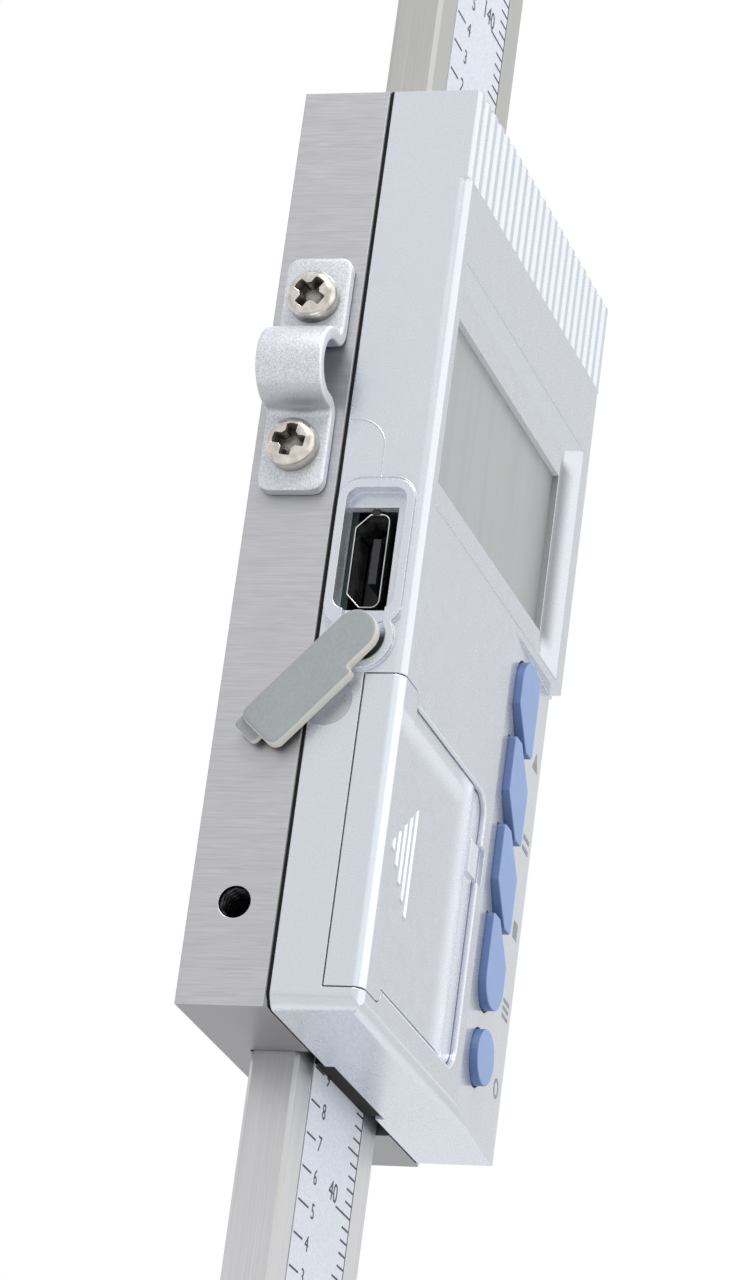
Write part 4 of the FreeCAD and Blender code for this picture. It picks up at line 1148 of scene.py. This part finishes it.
pin_low, pin_high = beam_box("stop_pins")
pin_length = pin_high[1] - pin_low[1]
pin_profile = np.concatenate([[(0, 0), (PIN_RADIUS, 0)], rolled_rim(PIN_RADIUS, pin_length, PIN_CROWN),
                              [(0, pin_length)]])
pins = [stand(turned(pin_profile, SMALL_ROUND), *FORWARD, (pin_low[0] + PIN_RADIUS, pin_high[1], z))
        for z in (pin_low[2] + PIN_RADIUS, pin_high[2] - PIN_RADIUS)]
piece("turned_stop_pins", "beam", "screw_steel", pins, place=from_beam, stands_for=["stop_pins"])

# %% Turn the cell
RIM_ROLL, RING_RADIUS, RING_HALF, RING_DEPTH = 0.45, 8.6, 0.2, 0.12
# How far in from the wall and how high each point of the foot lies
CELL_FOOT = [(1.4, 0), (1.2, 0.3), (0.1, 0.35), (0, 0.5)]
# Half width, half height and rise of each bar of the plus
PLUS_BARS, PLUS_ROOT = ((1.6, 0.3, 0.06), (0.3, 1.6, 0.05)), 0.05
cell_low, cell_high = head_box("battery_cell")
cell_x, _, cell_z = (cell_low + cell_high) / 2
cell_radius = (cell_high[0] - cell_low[0]) / 2
cell_height = cell_high[1] - cell_low[1]
cell_foot = [(cell_radius - inset, height) for inset, height in CELL_FOOT]
cell_face = [(RING_RADIUS + RING_HALF, cell_height), (RING_RADIUS, cell_height - RING_DEPTH),
             (RING_RADIUS - RING_HALF, cell_height), (0, cell_height)]
cell_rim = rolled_rim(cell_radius, cell_height, RIM_ROLL)
cell_profile = np.concatenate([[(0, 0)], cell_foot, cell_rim, cell_face])
cell_can = stand(turned(cell_profile, LARGE_ROUND), *FORWARD, (cell_x, cell_high[1], cell_z))
plus_bars = [blocks(cell_x - wide, cell_x + wide, cell_low[1] - rise, cell_low[1] + PLUS_ROOT,
                    cell_z - tall, cell_z + tall) for wide, tall, rise in PLUS_BARS]
piece("coin_cell", "head", "cell_can", [cell_can, *plus_bars], stands_for=["battery_cell"])

# %% [markdown]
# ## The connector in the port
# The connector's shell is thin sheet metal folded round the plug: two round corners in front and two
# bevelled ones next to the board, with its front edge rolled. Its section is one outline moved inward, so
# rings that go in along the outside and back along the inside make the whole shell. A small black tab of
# the insulator stands at its top, and five thin plated strips lie on the tongue, on the side that faces the
# board.

# %% Fold the shell
SHELL_SHEET, SHELL_ROLL, SHELL_BEVEL, SHELL_ROUND, FOLD = 0.11, 0.03, 1.1, 0.7, 0.2
shell_low, shell_high = head_box("usb_shell")
mouth, bottom = shell_low[0], shell_high[0]
_, shell_y, shell_z = (shell_low + shell_high) / 2


def shell_ring(inset, x):
    """The shell's outline moved inward by an inset, at a depth x; a bevel shrinks by (2 - root 2) insets."""
    front, back = shell_low[1] + inset, shell_high[1] - inset
    low, high = shell_low[2] + inset, shell_high[2] - inset
    bevel = SHELL_BEVEL - (2 - math.sqrt(2)) * inset
    corners = [(front, low, SHELL_ROUND - inset), (back - bevel, low, FOLD), (back, low + bevel, FOLD),
               (back, high - bevel, FOLD), (back - bevel, high, FOLD), (front, high, SHELL_ROUND - inset)]
    line = rounded(corners)[0]
    return np.concatenate([np.full((len(line), 1), x), line], axis=1)


shell_path = [(0, bottom), (0, mouth + SHELL_ROLL), (SHELL_ROLL, mouth), (SHELL_SHEET - SHELL_ROLL, mouth),
              (SHELL_SHEET, mouth + SHELL_ROLL), (SHELL_SHEET, bottom)]
shell_rings = np.stack([shell_ring(inset, x) for inset, x in shell_path])
piece("folded_shell", "head", "shell_chrome", [skin(shell_rings, "loop")], stands_for=["usb_shell"])

# %% Add the tab and the contacts
TAB_SHIFT, TAB_UP, TAB_HALF_WIDTH, TAB_HALF_HEIGHT, TAB_CORNER = -0.2, 0.1, 0.3, 0.2, 0.08
TAB_IN, TAB_OUT, TAB_EDGE = -0.3, 0.12, 0.05
TONGUE_SETBACK, TONGUE_THICKNESS, CONTACT_SINK, CONTACT_RISE = 0.56, 0.6, 0.01, 0.06
CONTACT_PITCH, CONTACT_HALF, CONTACT_START, CONTACT_END = 0.65, 0.14, 0.15, 3.0
tab_line = about(shell_y + TAB_SHIFT, shell_high[2] + TAB_UP, TAB_HALF_WIDTH, TAB_HALF_HEIGHT, TAB_CORNER)
tab = soft_slab(tab_line, TAB_IN - mouth, TAB_OUT - mouth, TAB_EDGE, steps=3)
piece("shell_tab", "head", "tongue_black", [stand(tab, *LEFTWARD)])

tongue_tip = head_box("usb_tongue")[0][0]
tongue_back = shell_low[1] + TONGUE_SETBACK + TONGUE_THICKNESS
strip_z = shell_z + CONTACT_PITCH * np.arange(-2, 3)
strips = blocks(tongue_tip + CONTACT_START, tongue_tip + CONTACT_END, tongue_back - CONTACT_SINK,
                tongue_back + CONTACT_RISE, strip_z - CONTACT_HALF, strip_z + CONTACT_HALF)
piece("port_contacts", "head", "contact_metal", [strips])

# %% [markdown]
# ## The display behind its window
# Clear plastic bends the view, so the display seems to lie right behind the opening and not deep in the
# case. A thin film with the display's grey stands at that apparent depth, and a grey skirt lines the walls
# of the opening, as the side of a clear moulding looks. The skirt is a loop of four rings. The film's top
# and right borders are darker, where the edge of the opening keeps light off the glass.

# %% Film and skirt
WINDOW, WINDOW_CORNER = (3.0, 32.6, 42.6, 56.2), 0.05
FILM_FRONT, FILM_BACK, FILM_EDGE = -6.2, -6.16, 0.01
DISH_FLOOR, SKIRT_STEP, SKIRT, SKIRT_GAP = -6.7, 0.02, 0.04, 0.005
RIGHT_SHADE, TOP_SHADE = (6.6, 0.6), (1.1, 0.7)


def window_outline(inset):
    """Corners of the window's outline, moved inward by an inset."""
    left, right, low, high = WINDOW
    return rectangle(left + inset, right - inset, low + inset, high - inset, WINDOW_CORNER)


def window_shade(place):
    """A darker strip along the right and the top border, that starts and is full at given distances."""
    right = past(place, 0, *(WINDOW[1] - distance for distance in RIGHT_SHADE))
    top = past(place, 2, *(WINDOW[3] - distance for distance in TOP_SHADE))
    return (0.5 * right).most(0.25 * top)


def skirt_ring(inset, y):
    """The window's outline moved inward by an inset, at a depth."""
    line = rounded(window_outline(inset), steps=4)[0]
    return np.stack([line[:, 0], np.full(len(line), y), line[:, 1]], axis=-1)


film = soft_slab(window_outline(SKIRT), FILM_BACK, FILM_FRONT, FILM_EDGE, steps=2)
piece("display_film", "head", "lcd_grey", [stand(film, *BACKWARD)],
      finish=polariser("display_film", tone(150, 151, 153), tone(158, 160, 163), tone(162, 161, 155),
                       window_shade))

skirt_front = DISH_FLOOR + SKIRT_STEP
skirt_rings = np.stack([skirt_ring(SKIRT_GAP, FILM_BACK), skirt_ring(SKIRT_GAP, skirt_front),
                        skirt_ring(SKIRT, skirt_front), skirt_ring(SKIRT, FILM_BACK)])
# The skirt's grey, darker on the wall that looks left, is partly painted shade on the opening's walls.
piece("window_skirt", "head", "lens_clear", [skin(skirt_rings, "loop")],
      finish=moulded("skirt_grey_plastic", tone(136, 138, 141), tone(143, 145, 148), tone(150, 152, 155), 0.5,
                     3000, 0.00002, tone(200, 203, 206), 0))

# %% [markdown]
# ## Mould lines
# A shut-off of the mould left a fine raised line on the left face above the port, and the insert that
# formed the port left another round its rim: thin half-round beads carried along bent paths. Two more run
# along the upper and lower edge of the dish round the window. The edge of the battery opening is rolled
# over, which is a thicker bead that lies mostly below the surface and stops at the notch for the door's
# latch.

# %% Lay the mould lines
LINE_RADIUS, LINE_COUNT = 0.06, 10
SHUT_OFF = [(-0.3, 46.4, 0), (-3.25, 46.2, 2.3), (-3.3, 41.4, 0)]
PORT_INSERT = rectangle(-6.25, -0.25, 29.9, 41.65, 1.9)
DISH_LEFT, DISH_MIDDLE, DISH_RIGHT, DISH_EDGES = 1.9, 20, 36.9, (40.2, 60.3)
ROLL_RADIUS, ROLL_SUNK, ROLL_CORNER, ROLL_COUNT = 0.2, 0.15, 1.88, 24
ROLL_LEFT, ROLL_RIGHT, ROLL_RUNS = 4.6, 23.28, ((2.62, 17.85), (24.98, 20.95))


def bead(line, normal, radius, count, sides, ends="flat"):
    """A round bead along a flat line: at angle a each ring is the line plus radius cos a along the line's
    normal and radius sin a along a third direction; sides gives those three directions in the result."""
    angle = np.arange(count) / count * 2 * math.pi
    flat = line[:, None] + radius * np.cos(angle)[:, None] * normal[:, None]
    tall = np.broadcast_to(radius * np.sin(angle)[:, None], flat.shape[:2] + (1,))
    return stand(skin(np.concatenate([flat, tall], axis=-1), ends), *sides)


dish_lines = [rounded([(DISH_LEFT, z, 0), (DISH_MIDDLE, z, 0), (DISH_RIGHT, z, 0)], steps=2, closed=False)
              for z in DISH_EDGES]
rolls = [rounded([(ROLL_LEFT, z, 0), (ROLL_RIGHT, z, ROLL_CORNER), (ROLL_RIGHT, notch, 0)],
                 steps=12, closed=False) for z, notch in ROLL_RUNS]
dish_sides = (*BACKWARD, (0, CASE_FRONT, 0))
roll_sides = (*BACKWARD, (0, CASE_FRONT + ROLL_SUNK, 0))
piece("mould_line", "head", "case_silver",
      [bead(*rounded(SHUT_OFF, steps=16, closed=False), LINE_RADIUS, LINE_COUNT, LEFTWARD),
       bead(*rounded(PORT_INSERT, steps=12), LINE_RADIUS, LINE_COUNT, LEFTWARD, "loop"),
       *(bead(*line, LINE_RADIUS, LINE_COUNT, dish_sides) for line in dish_lines),
       *(bead(*line, ROLL_RADIUS, ROLL_COUNT, roll_sides) for line in rolls)])

# %% [markdown]
# ## Key signs
# Beside each key a small plain sign is printed on the tilted panel: a triangle, bars, a square, more bars
# and a ring. Each is a thin slab about its own middle, laid along the panel's slope.

# %% Print the signs
PANEL_LEFT, PANEL_SLOPE, SIGN_X = 25.0, 1 / 14.5, 36.8
PANEL = ((1, PANEL_SLOPE, 0), (0, 0, 1), (PANEL_SLOPE, -1, 0))
SIGN_CORNER, SIGN_EDGE, SIGN_HALF, BAR_HALF = 0.08, 0.01, 0.7, 1.0
TRIANGLE = [(-0.95, -0.7, SIGN_CORNER), (0.95, -0.7, SIGN_CORNER), (0, 0.8, SIGN_CORNER)]
RING = [(0.8, -INK), (0.8, INK), (0.55, INK), (0.55, -INK), (0.8, -INK)]
# How many bars, their half height and their spacing
TWO_BARS, THREE_BARS = (2, 0.18, 0.9), (3, 0.14, 0.62)
SIGN_HEIGHTS = (33.0, 26.0, 18.8, 12.2, 5.8)


def sign_slab(corners):
    """A thin slab of ink about the panel's surface."""
    return soft_slab(corners, -INK, INK, SIGN_EDGE, steps=2)


def sign_bars(rows, half_height, gap):
    """A few level bars above each other."""
    z = (np.arange(rows) - (rows - 1) / 2) * gap
    return blocks(-BAR_HALF, BAR_HALF, z - half_height, z + half_height, -INK, INK)


square = sign_slab(about(0, 0, SIGN_HALF, SIGN_HALF, SIGN_CORNER))
flat_signs = [sign_slab(TRIANGLE), sign_bars(*TWO_BARS), square, sign_bars(*THREE_BARS),
              turned(RING, SMALL_ROUND)]
sign_y = CASE_FRONT + PANEL_SLOPE * (SIGN_X - PANEL_LEFT)
signs = [stand(shape, *PANEL, (SIGN_X, sign_y, z)) for shape, z in zip(flat_signs, SIGN_HEIGHTS)]
piece("key_signs", "head", "seal_black", signs,
      finish=patchy("sign_ink", 0.0, tone(112, 114, 120), tone(150, 152, 158), 4000, 0.7, 0.5))

# %% [markdown]
# ## Camera, light and floor
# The camera stands where the photographer did: below the head and to its left, with a long lens. Its
# direction was found by fitting the ruler's ticks and the head's corners. The background is white to the
# camera and in reflections, while the light that falls on the object is lower, so pale surfaces keep their
# tone. The floor is pale paper round the object and turns into that same white farther out, so no horizon
# shows from any side.

# %% Camera
CAMERA_RIGHT = (0.28738, -0.94962, 0.12500)
CAMERA_UP = (-0.37914, 0.00706, 0.92531)
CAMERA_BACK = (-0.87958, -0.31331, -0.35801)
CAMERA_PLACE = (-0.36818, -0.13267, -0.04291)
FOCAL_PIXELS, IMAGE_HEIGHT, SENSOR_WIDTH, NEAREST = 5372.33, 1280, 36, 0.01


def posed(right, up, back, place):
    """A matrix whose columns are three directions and a place."""
    return Matrix([(*axis, 0) for axis in (right, up, back)] + [(*place, 1)]).transposed()


lens = bpy.data.cameras.new("photo_view")
lens.sensor_width = SENSOR_WIDTH
lens.lens = FOCAL_PIXELS / IMAGE_HEIGHT * SENSOR_WIDTH
lens.clip_start = NEAREST
camera = put("photo_view", lens)
camera.matrix_world = posed(CAMERA_RIGHT, CAMERA_UP, CAMERA_BACK, CAMERA_PLACE)
bpy.context.scene.camera = camera
print("lens:", round(lens.lens, 1), "mm")

# %% World
LIGHT_LEVEL, WHITE = 0.62, (1, 1, 1, 1)


def background_rays(wire):
    """1 for rays that show the background, which are those from the camera, in mirrors and through glass."""
    seen, mirrored, through = (wire.node("LightPath", {}, {}, "Is " + kind + " Ray")
                               for kind in ("Camera", "Glossy", "Transmission"))
    return wire.math("MINIMUM", seen + mirrored + through, 1.0)


bpy.context.scene.view_settings.view_transform = "Standard"
world = bpy.data.worlds.new("studio")
world.use_nodes = True
bpy.context.scene.world = world
sky = world.node_tree.nodes["Background"]
sky.inputs["Color"].default_value = WHITE
white = background_rays(Wire(world.node_tree, sky.outputs["Background"]))
strength = LIGHT_LEVEL + (1 - LIGHT_LEVEL) * white
world.node_tree.links.new(strength.socket, sky.inputs["Strength"])
print("light on the object:", LIGHT_LEVEL, "of the background's")

# %% Floor
FLOOR_HEIGHT, FLOOR_HALF = -0.1, 12.0
FLOOR_MIDDLE, FLOOR_FADE = (0.25, 0.25, FLOOR_HEIGHT), (0.55, 1.0)
material, place = begin("floor_paper", {"Metallic": 0.0})
paper = grain(place, 300, 3)
feed(material, {"Base Color": paper.blend(tone(247, 247, 247), tone(250, 250, 250)),
                "Roughness": 0.8 + 0.1 * paper})
tree = material.node_tree
away = place.node("VectorMath", {"operation": "DISTANCE"}, {0: place, 1: FLOOR_MIDDLE}, "Value")
near_look = Wire(tree, tree.nodes["Principled BSDF"].outputs["BSDF"])
far_look = place.node("Emission", {}, {"Color": WHITE, "Strength": 1.0})
far = away.between(*FLOOR_FADE) * background_rays(place)
look = place.node("MixShader", {}, {0: far, 1: near_look, 2: far_look})
tree.links.new(look.socket, tree.nodes["Material Output"].inputs["Surface"])

spread = np.linspace(-FLOOR_HALF, FLOOR_HALF, 3)
ground = np.stack([*np.meshgrid(spread, spread), np.full((3, 3), FLOOR_HEIGHT)], axis=-1).reshape(-1, 3)
tile = np.array([[0, 1, 4, 3]])
floor_mesh = bpy.data.meshes.new("floor")
floor_mesh.from_pydata(ground.tolist(), [], np.concatenate([tile, tile + 1, tile + 3, tile + 4]).tolist())
floor_mesh.materials.append(material)
floor = put("floor", floor_mesh)
print("floor:", 2 * FLOOR_HALF, "m wide, fading to white from", FLOOR_FADE[0], "m")

# %% Lamps


def lamp(name, place, target, width, height, power):
    """A soft lamp of a width and height at a place; its own -Z looks along the line to a target."""
    light = bpy.data.lights.new(name, "AREA")
    light.shape = "RECTANGLE"
    light.size = width
    light.size_y = height
    light.energy = power
    holder = put(name, light)
    holder.visible_camera = False
    line = np.array(place, float) - np.array(target, float)
    axis = line / np.linalg.norm(line)
    side = np.cross((0, 0, 1), axis)
    side = side / np.linalg.norm(side)
    holder.matrix_world = posed(side, np.cross(axis, side), axis, place)
    print(name, power, "W")


lamp("front_lamp", (0.195, -0.8, 0.5), (0.195, 0, 0.5), 1.51, 1.2, 3.6)
lamp("left_fill", (-0.55, -0.2, 0.95), (0, 0, 0.1), 0.5, 0.5, 7.3)
lamp("floor_lamp", (0.5, 0.2, 0.45), (0.42, 0.15, -0.1), 0.4, 0.4, 0.5)
